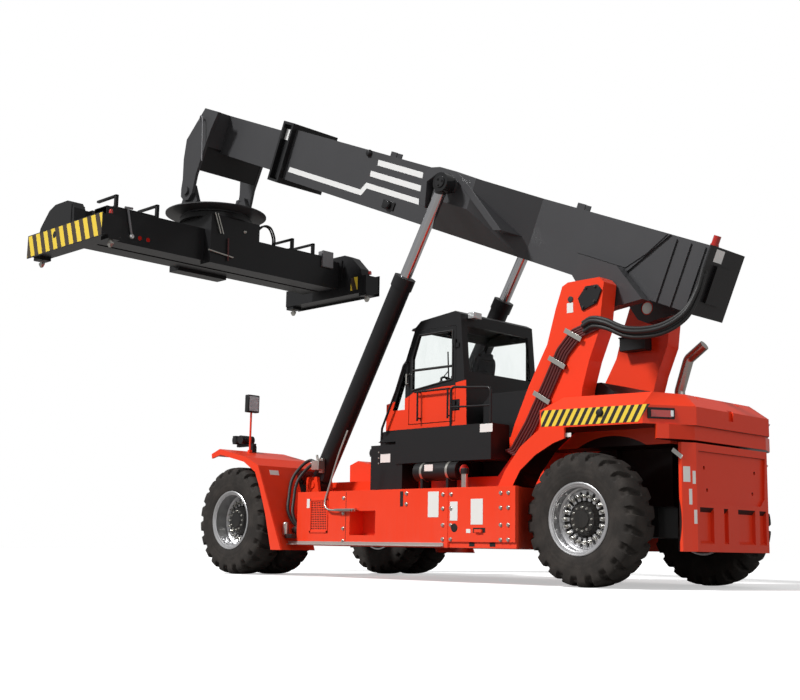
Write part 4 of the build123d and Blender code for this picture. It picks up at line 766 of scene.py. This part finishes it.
for side, hand in both_sides:
    mirror_place = np.array((post_low[0] - 0.02, side * (post_high[1] - 0.1), post_high[2] - 0.125))
    mirror_line = oblong(-0.112, -0.14, 0.112, 0.135)
    shell = cut_plate(mirror_line, mirror_place, sideways, upright, 0.09)
    piece(f"mirror_shell_{hand}", [shell], black_plastic, "chassis", soften=0.012)
    face_line = [(a * 0.8, b * 0.84) for a, b in mirror_line]
    face = cut_plate(face_line, mirror_place - (0.0005, 0, 0), sideways, upright, -0.003)
    piece(f"mirror_face_{hand}", [face], silvering, "chassis")
piece("cab_visor", [visor, *roof_ribs], satin_black, "chassis", soften=0.004)
piece("cab_roof_lamps", roof_lamps, black_plastic, "chassis", soften=0.012)
cross_bar = beam((cab_x1 - 0.42, -cab_y - 0.004, 2.99), (cab_x1 - 0.86, -cab_y - 0.004, 3.01), 0.014)
wiper_arm = tube(
    [(cab_x1 - 0.12, 0.25, 2.42), (cab_x1 - 0.26, 0.15, 2.72), (cab_x1 - 0.42, -0.1, 3.1)], 0.008, 8
)
wiper_blade = beam((cab_x1 - 0.3, -0.24, 2.86), (cab_x1 - 0.53, 0.04, 3.36), 0.008)
piece("cab_wiper", [wiper_arm, wiper_blade, cross_bar], seal_rubber, "chassis")
handle_x = door_low[0] + 0.86
handle = [
    beam((handle_x, cab_y + 0.045, 2.79), (handle_x, cab_y + 0.045, 2.93), 0.01),
    *(beam((handle_x, cab_y + 0.002, z), (handle_x, cab_y + 0.05, z), 0.009) for z in (2.79, 2.93)),
]
piece("door_handle", handle, bright_steel, "door")
window_front, window_back = door_high[0] + 0.012, door_low[0] - 0.012
window_rows = np.array([
    (window_front, 2.69), (window_front, 3.155), (door_high[0] - 0.118, 3.492), (window_back, 3.492),
    (window_back, 2.79),
])
door_bars = [
    beam((a[0], cab_y + 0.004, a[1]), (b[0], cab_y + 0.004, b[1]), 0.009)
    for a, b in zip(window_rows, np.roll(window_rows, -1, axis=0))
]
waist = [beam((door_low[0], cab_y + 0.01, 2.98), (door_high[0], cab_y + 0.01, 2.98), 0.013)]
piece("door_window_seal", door_bars + waist, seal_rubber, "door")
controls = [
    bar((cab_x1 - 0.62, -0.36, 2.92), (cab_x1 - 0.59, -0.1, 3.1)),
    beam((cab_x1 - 0.6, -0.23, 2.92), (cab_x1 - 0.7, -0.23, 2.6), 0.014),
]
for side in (-1, 1):
    controls += [
        bar((cab_x1 - 1.28, side * 0.36, 2.72), (cab_x1 - 0.86, side * 0.27, 2.79)),
        tube([(cab_x1 - 0.9, side * 0.315, 2.78), (cab_x1 - 0.88, side * 0.315, 2.93)], [0.014, 0.026], 12),
        beam((cab_x1 - 1.2, side * 0.31, 2.25), (cab_x1 - 1.2, side * 0.31, 2.74), 0.03),
    ]
piece("cab_controls", controls, black_plastic, "chassis", soften=0.008)

# ------------------------------ driver's seat
# A sprung seat in black woven cloth over foam: squab, back and headrest with rounded bolsters and a
# welted seam round each.
seat_low, seat_high = span("seat_cushion")


def signed_power(value, power):
    """The size of the value to a power, with the value's own sign."""
    return np.sign(value) * np.abs(value) ** power


def bolster(middle, size, tilt=0.0):
    """A cushion: a rounded slab (a superellipsoid) that swells in the middle and sinks at its seams."""
    rows, columns, off_pole = 28, 40, 0.02
    u = np.linspace(-np.pi / 2 + off_pole, np.pi / 2 - off_pole, rows)[:, None]
    v = np.linspace(0, 2 * np.pi, columns, endpoint=False)[None, :]
    x = signed_power(np.cos(u), 0.45) * signed_power(np.cos(v), 0.4)
    y = signed_power(np.cos(u), 0.45) * signed_power(np.sin(v), 0.4)
    z = signed_power(np.sin(u), 0.75) + 0 * v
    swell = 1 - 0.16 * (x**2 + y**2) - 0.07 * np.exp(-((np.abs(y) - 0.62) / 0.05) ** 2)
    x, y, z = x * size[0] / 2, y * size[1] / 2, z * size[2] / 2 * swell
    c, s = np.cos(tilt), np.sin(tilt)
    return skin(np.stack([x * c - z * s, y, x * s + z * c], -1) + np.asarray(middle))


woven, tree, shader = new_finish("woven_seat_cloth")
thread_links = {"Vector": own_place(tree), "Scale": 120.0}
warp, weft = (put(tree, "TexWave", thread_links, bands_direction=way).outputs[1] for way in "XY")
weave = sum_of(tree, warp, weft)
cloth_tone = mixed(tree, weave, (0.012, 0.012, 0.014, 1), (0.05, 0.05, 0.054, 1))
wire(tree, shader, cloth_tone, reach(tree, weave, -1.5, 0.6), weave, 0.0015, 0.8)
dress(woven, "seat_cushion")
lean = math.radians(80)
back_middle = np.array((seat_low[0] + 0.2, 0, seat_high[2] - 0.34))
seat_parts = [
    bolster(((seat_low[0] + seat_high[0]) / 2 + 0.03, 0, seat_low[2] + 0.07), (0.54, 0.49, 0.16)),
    bolster(back_middle, (0.6, 0.47, 0.13), -lean),
    bolster(back_middle + (-0.055, 0, 0.28), (0.13, 0.3, 0.1), -lean),
]
seat = piece("driver_seat_padded", seat_parts, woven, "chassis", angle=70)
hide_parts("seat_cushion")

# ------------------------------ walkway and lower fittings
# By the cab's left side: a blank plate on the walkway box, another on the box below with its lock, the
# air tank's red cap and bands, the filler with its black cap, and the bent grab rail with its foot plate.
walk_y, tank_y, tank_z = 1.18, 1.13, 1.47
cap_red = coated("red_cap_plastic", (0.55, 0.03, 0.02), 0.4, dust=0.06)
tank_x = front_x - 3.41
walk_plates = [
    plate_at((front_x - 4.30, walk_y, 2.015), 0.22, 0.11, 1),
    plate_at((front_x - 2.38, walk_y - 0.02, 1.69), 0.2, 0.12, 1),
    bar((tank_x, 1.255, tank_z), (tank_x + 0.16, 1.26, 1.56)),
]
piece("walkway_plates", walk_plates, label_white, "chassis")
band_line = [(-0.02, 0.129), (-0.02, 0.133), (0.02, 0.133), (0.02, 0.129)]
bands = [turned(band_line, (x, tank_y, tank_z), forward, 32) for x in (tank_x - 0.24, tank_x + 0.24)]
dot_places = [(front_x - 2.24, walk_y - 0.02, z) for z in (1.62, 1.7, 1.78)]
dots = copies(turned([(0.001, 0.012), (0.004, 0.01)], (0, 0, 0), sideways, 10), dot_places)
filler = turned(
    [(0, 0.045), (0.2, 0.045), (0.205, 0.035), (0.21, 0.05)], (front_x - 4.12, 1.4, 1.2), upright, 24
)
piece("tank_bands", bands + [dots, filler], bright_steel, "chassis")
tank_cap_line = [(0, 0.075), (0.03, 0.078), (0.045, 0.06), (0.05, 0.01)]
tank_cap = turned(tank_cap_line, (tank_x - 0.445, tank_y, tank_z), (-1, 0, 0), 32)
piece("tank_end_cap", [tank_cap], cap_red, "chassis")
filler_cap = turned(
    [(0, 0.056), (0.06, 0.056), (0.075, 0.045), (0.08, 0.01)], (front_x - 4.12, 1.4, 1.4), upright, 24
)
rail = eased(np.array((front_x, 0, 0)) + [
    (-2.16, 1.70, 2.06), (-2.04, 1.76, 1.7), (-1.92, 1.8, 1.3), (-1.86, 1.83, 1.06), (-1.93, 1.85, 0.955),
    (-2.1, 1.85, 0.93), (-2.42, 1.85, 0.925),
])
grip = [
    bar((front_x - 2.12, 1.815, 0.935), (front_x - 2.52, 1.885, 0.95)),
    beam((front_x - 2.45, 1.79, 0.925), (front_x - 2.45, 1.86, 0.925), 0.012),
]
piece("grab_rail", [tube(rail, 0.014, 10, sideways), *grip], bright_steel, "chassis", angle=60)
piece("filler_cap", [filler_cap], black_plastic, "chassis")

# ------------------------------ boom paint and stripes
# The boom is a welded box in charcoal satin. On both sides a white band steps up once and two short
# bands run above it, all cut off slanted ahead of the cylinder wings; the wings' rims are rolled steel,
# welded on. Blank white plates sit on the collar and the tail.
charcoal = coated(
    "charcoal_satin_paint", (0.044, 0.044, 0.047), 0.46, dust=0.04, mottle=0.14, gloss=0.1, shine=0.35
)
dress(charcoal, "outer_boom", "inner_boom", "boom_head", "tilt_yoke")
dress(satin_black, "boom_tail")
joints = {joint["name"]: joint for joint in frame["record"]["behaviour"]["joints"]}
pivot = joints["boom_luff"]["pos_m"]
boom_half = 0.42
boom_along = np.array(joints["boom_telescope"]["axis"], float)
boom_up = np.array((-boom_along[2], 0, boom_along[0]))


def on_boom(along, up, y=0.0):
    """A place on the boom: so far along it from its pivot, so far square to it, and across."""
    return np.array((pivot[0], 0, pivot[2])) + boom_along * along + boom_up * up + np.array((0, y, 0))


def boom_plate(outline, y, side, thickness):
    """A plate along the boom's side, so far from its middle, with its outline in boom places."""
    return cut_plate(outline, on_boom(0, 0, side * y), boom_along, boom_up, -thickness * side)


def by_pivot(ahead, y, above):
    """A place on the machine, so far ahead of the boom's pivot and above it."""
    return np.array((pivot[0] + ahead, y, pivot[2] + above))


boom_white = coated("white_marking_paint", (0.8, 0.8, 0.79), 0.42, dust=0.04, mottle=0.04)
stripes = [
    [
        (7.38, 0.275), (7.365, 0.362), (5.40, 0.362), (5.31, 0.497), (4.02, 0.497), (3.99, 0.41),
        (5.26, 0.41), (5.35, 0.275),
    ],
    [(5.27, 0.61), (5.29, 0.70), (4.06, 0.70), (4.04, 0.61)],
    [(5.17, 0.81), (5.19, 0.9), (4.10, 0.9), (4.08, 0.81)],
]
wing_rim = [
    (1.72, 0.42), (1.86, 0.385), (2.82, 0.9), (3.0, 0.965), (3.25, 0.935), (3.42, 0.77), (3.3, 0.4),
    (3.42, 0.42), (3.545, 0.80), (3.44, 0.985), (3.25, 1.03), (2.9, 1.03), (2.72, 0.97),
]
for side, hand in both_sides:
    rim = boom_plate(wing_rim, boom_half - 0.01, side, 0.528)
    piece(f"boom_wing_rim_{hand}", [rim], charcoal, "boom", soften=0.006)
    bands = [boom_plate(outline, boom_half + 0.0001, side, 0.002) for outline in stripes]
    bands.append(boom_plate(oblong(7.57, 0.79, 7.73, 0.98), boom_half + 0.0101, side, 0.002))
    piece(f"boom_stripes_{hand}", bands, boom_white, "boom")
    out, beside = (0, side, 0), side * boom_half
    fittings = [
        turned([(0, 0.06), (0.03, 0.055), (0.05, 0.04), (0.055, 0.01)], on_boom(5.44, 0.96, beside), out, 20),
        turned(
            [(0, 0.07), (0.05, 0.07), (0.07, 0.055), (0.072, 0.01)], on_boom(4.64, 0.265, beside), out, 24
        ),
        boom_plate(oblong(4.50, 0.2, 4.78, 0.33), boom_half, side, 0.02),
    ]
    piece(f"boom_side_fittings_{hand}", fittings, satin_black, "boom", soften=0.004)

tail_plate = cut_plate(oblong(0.07, 0.83, 0.26, 0.99), on_boom(-1.2005, 0), sideways, boom_up, -0.003)
piece("boom_tail_plate", [tail_plate], boom_white, "boom")

# ------------------------------ lift cylinders and boom pivot
# Hard-chromed rods with forged eyes painted black and a bolted keeper on each pin; black hexagonal keeper
# plates hold the boom's pivot pins in the towers. Blank plates on towers and fenders, an air cleaner box on
# the right tower, and the cross plate that ties the legs of the boom head together.
eye_place = on_boom(2.884, 0.816)
rod_chrome, eye_black = (0.66, 0.66, 0.68), (0.012, 0.012, 0.013)
rod_finish = coated(
    "chromed_rod_black_eye", rod_chrome, 0.12, dust=0.02, metal=1.0, mottle=0.02, peel=0.00001
)
tree = rod_finish.node_tree
is_rod = reach(tree, from_line_across(tree, eye_place), 0.17, 0.18)
repaint(rod_finish, mixed(tree, is_rod, (*eye_black, 1), (*rod_chrome, 1)))
tree.links.new(is_rod, tree.nodes["Principled BSDF"].inputs["Metallic"])
dress(rod_finish, "lift_rod_left", "lift_rod_right")
tower_y = span("boom_towers")[1][1] - 0.015
# The keepers sit on the outer faces of the rods' eyes, the pins' ends on the inner faces of the towers.
eye_outside, tower_inside = 1.2, 0.4495
diamond = [(0.13, -0.07), (0.01, 0.075), (-0.17, 0.075), (-0.235, 0.0), (-0.155, -0.165), (0.07, -0.235)]
for side, hand in both_sides:
    eye = np.array((eye_place[0], side * eye_outside, eye_place[2]))
    keeper = turned([(-0.01, 0.085), (0.012, 0.085), (0.016, 0.08)], eye, (0, side, 0), 28)
    keeper_bolt = copies(bolt_head((0, side, 0), 0.014), [eye + (0, side * 0.014, 0.05)])
    keeper_bolts = round_the_axle(keeper_bolt, eye, 3, 0.6)
    piece(
        f"rod_eye_keeper_{hand}", [keeper, keeper_bolts], satin_black, f"ram_{hand}", angle=25
    )
    plate = cut_plate(diamond, by_pivot(0, side * (tower_y - 0.002), 0), forward, upright, -0.026 * side)
    piece(f"pivot_keeper_{hand}", [plate], satin_black, "chassis", soften=0.004)
    pin_line = [(0.0, 0.078), (0.006, 0.078), (0.007, 0.05)]
    pin_end = turned(pin_line, by_pivot(0, side * tower_inside, 0), (0, -side, 0), 32)
    piece(f"pivot_pin_end_{hand}", [pin_end], bright_steel, "chassis")
    corners = [
        by_pivot(a * 0.78 - 0.01, side * (tower_y + 0.024), b * 0.78 - 0.01)
        for a, b in diamond[1:3] + diamond[4:]
    ]
    keeper_heads = copies(bolt_head((0, side, 0), 0.016), corners)
    eyelet_line = [(0, 0.04), (0.012, 0.04), (0.014, 0.026)]
    eyelet = turned(eyelet_line, by_pivot(0.26, side * tower_y, -0.06), (0, side, 0), 20)
    piece(f"pivot_keeper_bolts_{hand}", [keeper_heads, eyelet], cast_grey, "chassis", angle=25)
    fender_slope = unit((0.38, 0, 0.93))
    label_place = (front_x - 0.656, side * 1.69, 1.47)
    fender_label = cut_plate(
        oblong(0, 0, 0.17, 0.075), label_place, (0, side, 0), fender_slope, -0.002 * side
    )
    piece(f"fender_plate_{hand}", [fender_label], label_white, "chassis")
    name_plate = plate_at(by_pivot(0.27, side * tower_y, -0.17), 0.1, 0.13, side)
    piece(f"tower_plate_{hand}", [name_plate], label_white, "chassis")

air_box = [
    bar(by_pivot(0.06, -0.638, -0.55), by_pivot(0.47, -0.46, -0.36)),
    bar(by_pivot(0.05, -0.638, -0.372), by_pivot(0.48, -0.445, -0.35)),
]
piece("tower_air_box", air_box, black_plastic, "chassis", soften=0.012)
leg_inside = 0.639
# The cross plate's satin black, darker than the charcoal head, is painted shade where the plate lies in the
# head's shadow.
cross_line = [(9.66, 0.3), (9.69, -0.2), (9.72, -0.2), (9.70, 0.3)]
cross = cut_plate(cross_line, on_boom(0, 0, leg_inside), boom_along, boom_up, 2 * leg_inside)
piece("head_cross_plate", [cross], satin_black, "boom_extension", soften=0.004)

# ------------------------------ hoses at the tower and the boom
# Wire-braided rubber hoses: five dark red ones up the left tower under three bright clamps, a black bundle
# on from them to the boom's tail, and pairs at the cylinder feet, with a valve block, a filter and a pump.
hose_rubber = coated("black_hose_rubber", (0.014, 0.014, 0.014), 0.55, dust=0.08, peel=0.0008, peel_scale=340)
hose_red = coated(
    "dark_red_hose", (0.09, 0.012, 0.012), 0.5, dust=0.08, mottle=0.3, peel=0.0008, peel_scale=340
)
dress(hose_red, "tower_hoses")
clamp_line = oblong(-0.15, -0.032, 0.15, 0.032)
clamp_way, clamp_up = unit((0.86, 0, 0.5)), unit((-0.5, 0, 0.86))
clamps = [
    cut_plate(clamp_line, by_pivot(a, tower_y + 0.054, b), clamp_way, clamp_up, -0.006)
    for a, b in ((0.7, -1.31), (0.45, -0.872), (0.19, -0.54))
]
piece("tower_hose_clamps", clamps, bright_steel, "chassis", soften=0.002)
bundle_line = by_pivot(0, tower_y, 0) + [
    (0.02, 0.04, -0.47), (-0.12, 0.04, -0.42), (-0.33, 0.04, -0.47), (-0.62, -0.03, -0.6),
    (-0.95, -0.2, -0.58), (-1.2, -0.37, -0.4), (-1.33, -0.47, -0.12), (-1.4, -0.5, 0.12),
]
beside = [(0, 0, 0), (0, 0.045, 0.02), (0, -0.035, 0.04), (0, 0.01, -0.045), (0, 0.03, 0.06)]
bundle = [tube(eased(bundle_line + shift, 10), 0.027, 12, sideways) for shift in beside]
tail_bundle = piece("boom_tail_hoses", bundle, hose_rubber, None, angle=60)
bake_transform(tail_bundle)
foot_x, foot_z = front_x - 0.91, 1.35
for side, hand in both_sides:
    hose_line = [
        (-1.14, 1.34, 1.64), (-0.96, 1.36, 1.7), (-0.8, 1.42, 1.58), (-0.75, 1.52, 1.4), (-0.84, 1.64, 1.15),
        (-0.91, 1.71, 0.95), (-0.99, 1.68, 0.78), (-1.07, 1.6, 0.68),
    ]
    hose_line = np.array(hose_line) * (1, side, 1) + (front_x, 0, 0)
    loops = [
        tube(eased(hose_line - np.array((1, 0.5 * side, 0.7)) * shift, 8), 0.024, 10, sideways)
        for shift in (0, 0.07)
    ]
    piece(f"cylinder_foot_hoses_{hand}", loops, hose_rubber, "chassis", angle=60)
    filter_line = [(0, 0.03), (0.01, 0.043), (0.17, 0.043), (0.19, 0.03)]
    valve = [
        bar((foot_x - 0.32, side * 1.3, foot_z + 0.2), (foot_x - 0.16, side * 1.42, foot_z + 0.34)),
        bar((foot_x - 0.28, side * 1.26, foot_z + 0.16), (foot_x - 0.2, side * 1.31, foot_z + 0.38)),
        turned(filter_line, (front_x - 1.05, side * 1.86, 0.58), upright, 20),
        turned([(0, 0.018), (0.1, 0.018)], (foot_x - 0.24, side * 1.36, foot_z + 0.33), (0.3, 0, 1), 12),
    ]
    piece(f"cylinder_foot_valve_{hand}", valve, bright_steel, "chassis", soften=0.006)
    pump_line = [(0, 0.07), (0.09, 0.075), (0.11, 0.06), (0.17, 0.05)]
    pump = [
        turned(pump_line, (front_x - 1.21, side * 1.69, 0.66), forward, 20),
        bar((front_x - 1.228, side * 1.6, 0.54), (front_x - 1.08, side * 1.9, 0.6)),
    ]
    piece(f"grease_pump_{hand}", pump, satin_black, "chassis", soften=0.006)

# ------------------------------ spreader fittings
# The end beams are black steel; the outer face of each carries slanted yellow and black bands and small red
# lamps. On the frame lie hydraulic pipes on brackets, a grey junction box, a work lamp and two reflectors; on
# the slewing carriage are bright rods and a red indicator, and two hose loops go down from it to the frame.
tilt_x = sum(span("slew_carriage"))[0] / 2
end_stripes = striped("spreader_end_bands", (-1, 0, 0.36), 0.262, 0.5, black=(0.05, 0.035, 0.022))
grey_cover = coated("grey_cover_paint", (0.2, 0.2, 0.21), 0.5, dust=0.08)
dress(satin_black, "end_beam_left", "end_beam_right")
dress(bright_steel, *[name for name in nodes if name.startswith("twistlock")])
frame_low, frame_high = span("spreader_frame")
for side, hand in both_sides:
    low, high = span(f"end_beam_{hand}")
    y, foot = high[1] if side > 0 else low[1], low[2] + 0.035
    outline = oblong(low[0] + 0.01, foot, high[0] - 0.01, foot + 0.38)
    plate = cut_plate(outline, (0, y - side * 0.0005, 0), forward, upright, -0.0012 * side)
    piece(f"end_bands_{hand}", [plate], end_stripes, f"telescope_{hand}")
    # The hole in the end plate is a near black disc: painted shade.
    hole = turned(
        [(0, 0.06), (0.0008, 0.06)], (tilt_x + 0.3 * side, y + side * 0.0004, foot + 0.26), (0, side, 0), 24
    )
    piece(f"end_plate_hole_{hand}", [hole], opening_painted_shade, f"telescope_{hand}")
    lamp_line = [(0, 0.035), (0.05, 0.033), (0.07, 0.02), (0.072, 0.005)]
    lamps = [
        turned(lamp_line, (x, y - side * 0.2, high[2] - 0.46), upright, 16)
        for x in (low[0] + 0.08, high[0] - 0.08)
    ]
    inner_y = y - side * (high[1] - low[1] + 0.0005)
    inner_line = oblong(low[0] + 0.25, foot + 0.1, low[0] + 0.45, foot + 0.36)
    inner_band = cut_plate(inner_line, (0, inner_y, 0), forward, upright, 0.003 * side)
    piece(f"end_inner_band_{hand}", [inner_band], end_stripes, f"telescope_{hand}")
    piece(f"end_lamps_{hand}", lamps, lamp_red, f"telescope_{hand}")

deck_z, pipe_z = frame_high[2], frame_high[2] + 0.03
pipes = [
    tube(np.linspace((tilt_x + x, side * 1.52, pipe_z), (tilt_x + x, side * 2.45, pipe_z), 3), 0.016, 8)
    for x in (-0.36, -0.31, 0.34, 0.28, 0.22) for side in (1, -1)
]
piece("spreader_pipes", pipes, satin_black, "spreader_body", angle=60)
frame_x, carriage_x = frame_low[0], span("slew_carriage")[0][0] + 0.04
boxes = [
    bar((frame_x - 0.05, -2.58, deck_z - 0.2), (frame_x - 0.001, -2.3, deck_z + 0.13)),
    bar((frame_x - 0.04, -2.56, deck_z + 0.02), (frame_x + 0.12, -2.32, deck_z + 0.13)),
    tube([(frame_x - 0.025, 2.22, deck_z + 0.03), (frame_x - 0.025, 2.12, deck_z - 0.42)], 0.022, 10),
    tube([(frame_x - 0.025, 2.12, deck_z + 0.04), (frame_x - 0.025, 2.28, deck_z + 0.03)], 0.022, 10),
]
piece("spreader_junction_boxes", boxes, grey_cover, "spreader_body", soften=0.01)
rear_lamps = [turned([(0, 0.045), (0.02, 0.04), (0.03, 0.01)], (frame_x, 2.1, deck_z - 0.45), (-1, 0, 0), 16)]
piece("spreader_work_lamps", rear_lamps, lens_clear, "spreader_body")
reflectors = [
    turned([(0, 0.04), (0.008, 0.036)], (frame_x, y, deck_z - 0.45), (-1, 0, 0), 16)
    for y in (1.93, 1.76)
]
piece("spreader_reflectors", reflectors, lamp_red, "spreader_body")
rod_x = carriage_x - 0.03
slew_rods = [
    tube([(rod_x, 0.62, 5.73), (rod_x, 0.06, 5.68)], 0.015, 10),
    *(tube([(rod_x, y, 6.45), (rod_x, y - 0.14, 6.08)], 0.012, 10) for y in (0.5, 0.44)),
    turned([(0, 0.035), (0.02, 0.03), (0.03, 0.01)], (carriage_x, -0.213, 6.228), (-1, 0, 0), 16),
]
piece("carriage_rods", slew_rods, bright_steel, "spreader_slew", angle=50)
indicator = tube([(rod_x, 0.185, 6.02), (rod_x, 0.175, 5.6)], 0.016, 10)
piece("carriage_indicator", [indicator], hose_red, "spreader_slew", angle=50)
loop_line = np.array((carriage_x, 0, 0)) + [
    (0.22, -0.66, 6.36), (0.2, -0.82, 6.5), (0.22, -1.0, 6.5), (0.28, -1.15, 6.34), (0.34, -1.2, 6.16),
]
slew_loops = [tube(eased(loop_line + (shift, 0, 0), 8), 0.018, 10) for shift in (0, 0.06)]
slew_loops = piece("slew_hose_loops", slew_loops, hose_rubber, None, angle=60)
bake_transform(slew_loops)
pipe_line = np.array((frame_low[0] - 4.35, 0, 0)) + [
    (4.40, 0.745, 8.2), (4.35, 0.765, 8.29), (4.29, 0.765, 8.22), (4.27, 0.765, 8.0), (4.25, 0.765, 7.4),
]
piece(
    "head_pipe", [tube(eased(pipe_line, 6), 0.013, 10)], grey_cover, "boom_extension", angle=50
)
stands = []
for y in (-2.1, -1.56, 1.58, 2.42):
    stands.append(bar((tilt_x - 0.43, y - 0.03, deck_z - 0.02), (tilt_x - 0.37, y + 0.03, deck_z + 0.24)))
    stands.append(bar((tilt_x - 0.43, y - 0.03, deck_z + 0.2), (tilt_x + 0.2, y + 0.03, deck_z + 0.24)))
piece("spreader_brackets", stands, satin_black, "spreader_body", soften=0.006)

# ------------------------------ floor and studio
# A pale plain floor that keeps the shadow, a white surround for the camera and for glass, dim for gloss,
# one large soft key lamp high on the driver's side and soft light from all round.
# The floor's top lies 0.1 mm below the wheels.
floor_reach, floor_foot, floor_thickness = 60, -0.02, 0.0199
floor_mesh = bpy.data.meshes.new("studio_floor")
floor_line = oblong(-floor_reach, -floor_reach, floor_reach, floor_reach)
floor_points, floor_faces = cut_plate(floor_line, (0, 0, floor_foot), forward, sideways, floor_thickness)
floor_mesh.from_pydata(floor_points.tolist(), [], [face.tolist() for faces in floor_faces for face in faces])
floor = bpy.data.objects.new("studio_floor", floor_mesh)
scene.collection.objects.link(floor)
floor_finish, tree, shader = new_finish("pale_floor")
shader.inputs["Roughness"].default_value = 0.9
floor_grain = speckle(tree, 4.0, 3.0)
floor_pale = mixed(tree, floor_grain, (0.8, 0.8, 0.8, 1), (0.84, 0.84, 0.84, 1))
floor_seen = put(tree, "LightPath", {}).outputs["Is Camera Ray"]
tree.links.new(mixed(tree, floor_seen, (0.3, 0.29, 0.28, 1), floor_pale), shader.inputs["Base Color"])
shader.inputs["Emission Color"].default_value = (1, 1, 1, 1)
tree.links.new(sum_of(tree, floor_seen, 0.46), shader.inputs["Emission Strength"])
floor_mesh.materials.append(floor_finish)

world = bpy.data.worlds.new("studio_surround")
scene.world = world
world.use_nodes = True
tree = world.node_tree
surround = tree.nodes["Background"]
surround.inputs[0].default_value = (1, 1, 1, 1)
rays = put(tree, "LightPath", {})
seen = sum_of(tree, rays.outputs["Is Camera Ray"], rays.outputs["Is Transmission Ray"], "MAXIMUM")
seen = sum_of(tree, seen, sum_of(tree, rays.outputs["Is Glossy Ray"], 0.08), "MAXIMUM")
strength = put(tree, "MapRange", {"Value": seen, "To Min": 0.3, "To Max": 1.0}).outputs[0]
tree.links.new(strength, surround.inputs[1])


def sun(name, strength, direction, angle):
    """A soft distant lamp that shines along a direction."""
    lamp = bpy.data.lights.new(name, "SUN")
    lamp.energy, lamp.angle = strength, math.radians(angle)
    made = bpy.data.objects.new(name, lamp)
    scene.collection.objects.link(made)
    z = -unit(direction)
    x = unit(np.cross(upright, z))
    place = (0, 0, 9)
    made.matrix_world = Matrix(
        np.vstack([np.column_stack([x, np.cross(z, x), z, place]), (0, 0, 0, 1)]).tolist()
    )
    return made


sun("key_lamp", 3.35, (-0.25, -0.7, -0.7), 8)
sun("fill_lamp", 0.35, (0.85, -0.2, -0.3), 50)

# ------------------------------ camera
# A long lens, low beside the rear of the machine on the driver's side.
camera = bpy.data.cameras.new("camera")
camera.sensor_width, camera.lens, camera.clip_end = 36, 54.63, 400
heading, rise, roll = (math.radians(degrees) for degrees in (-44.929, 9.333, 1.023))
camera_object = bpy.data.objects.new("camera", camera)
scene.collection.objects.link(camera_object)
scene.camera = camera_object
aim = Matrix.Rotation(heading - math.pi / 2, 4, "Z") @ Matrix.Rotation(math.pi / 2 + rise, 4, "X")
aim = aim @ Matrix.Rotation(roll, 4, "Z")
aim.translation = (front_x - 14.823, 13.316, 0.405)
camera_object.matrix_world = aim
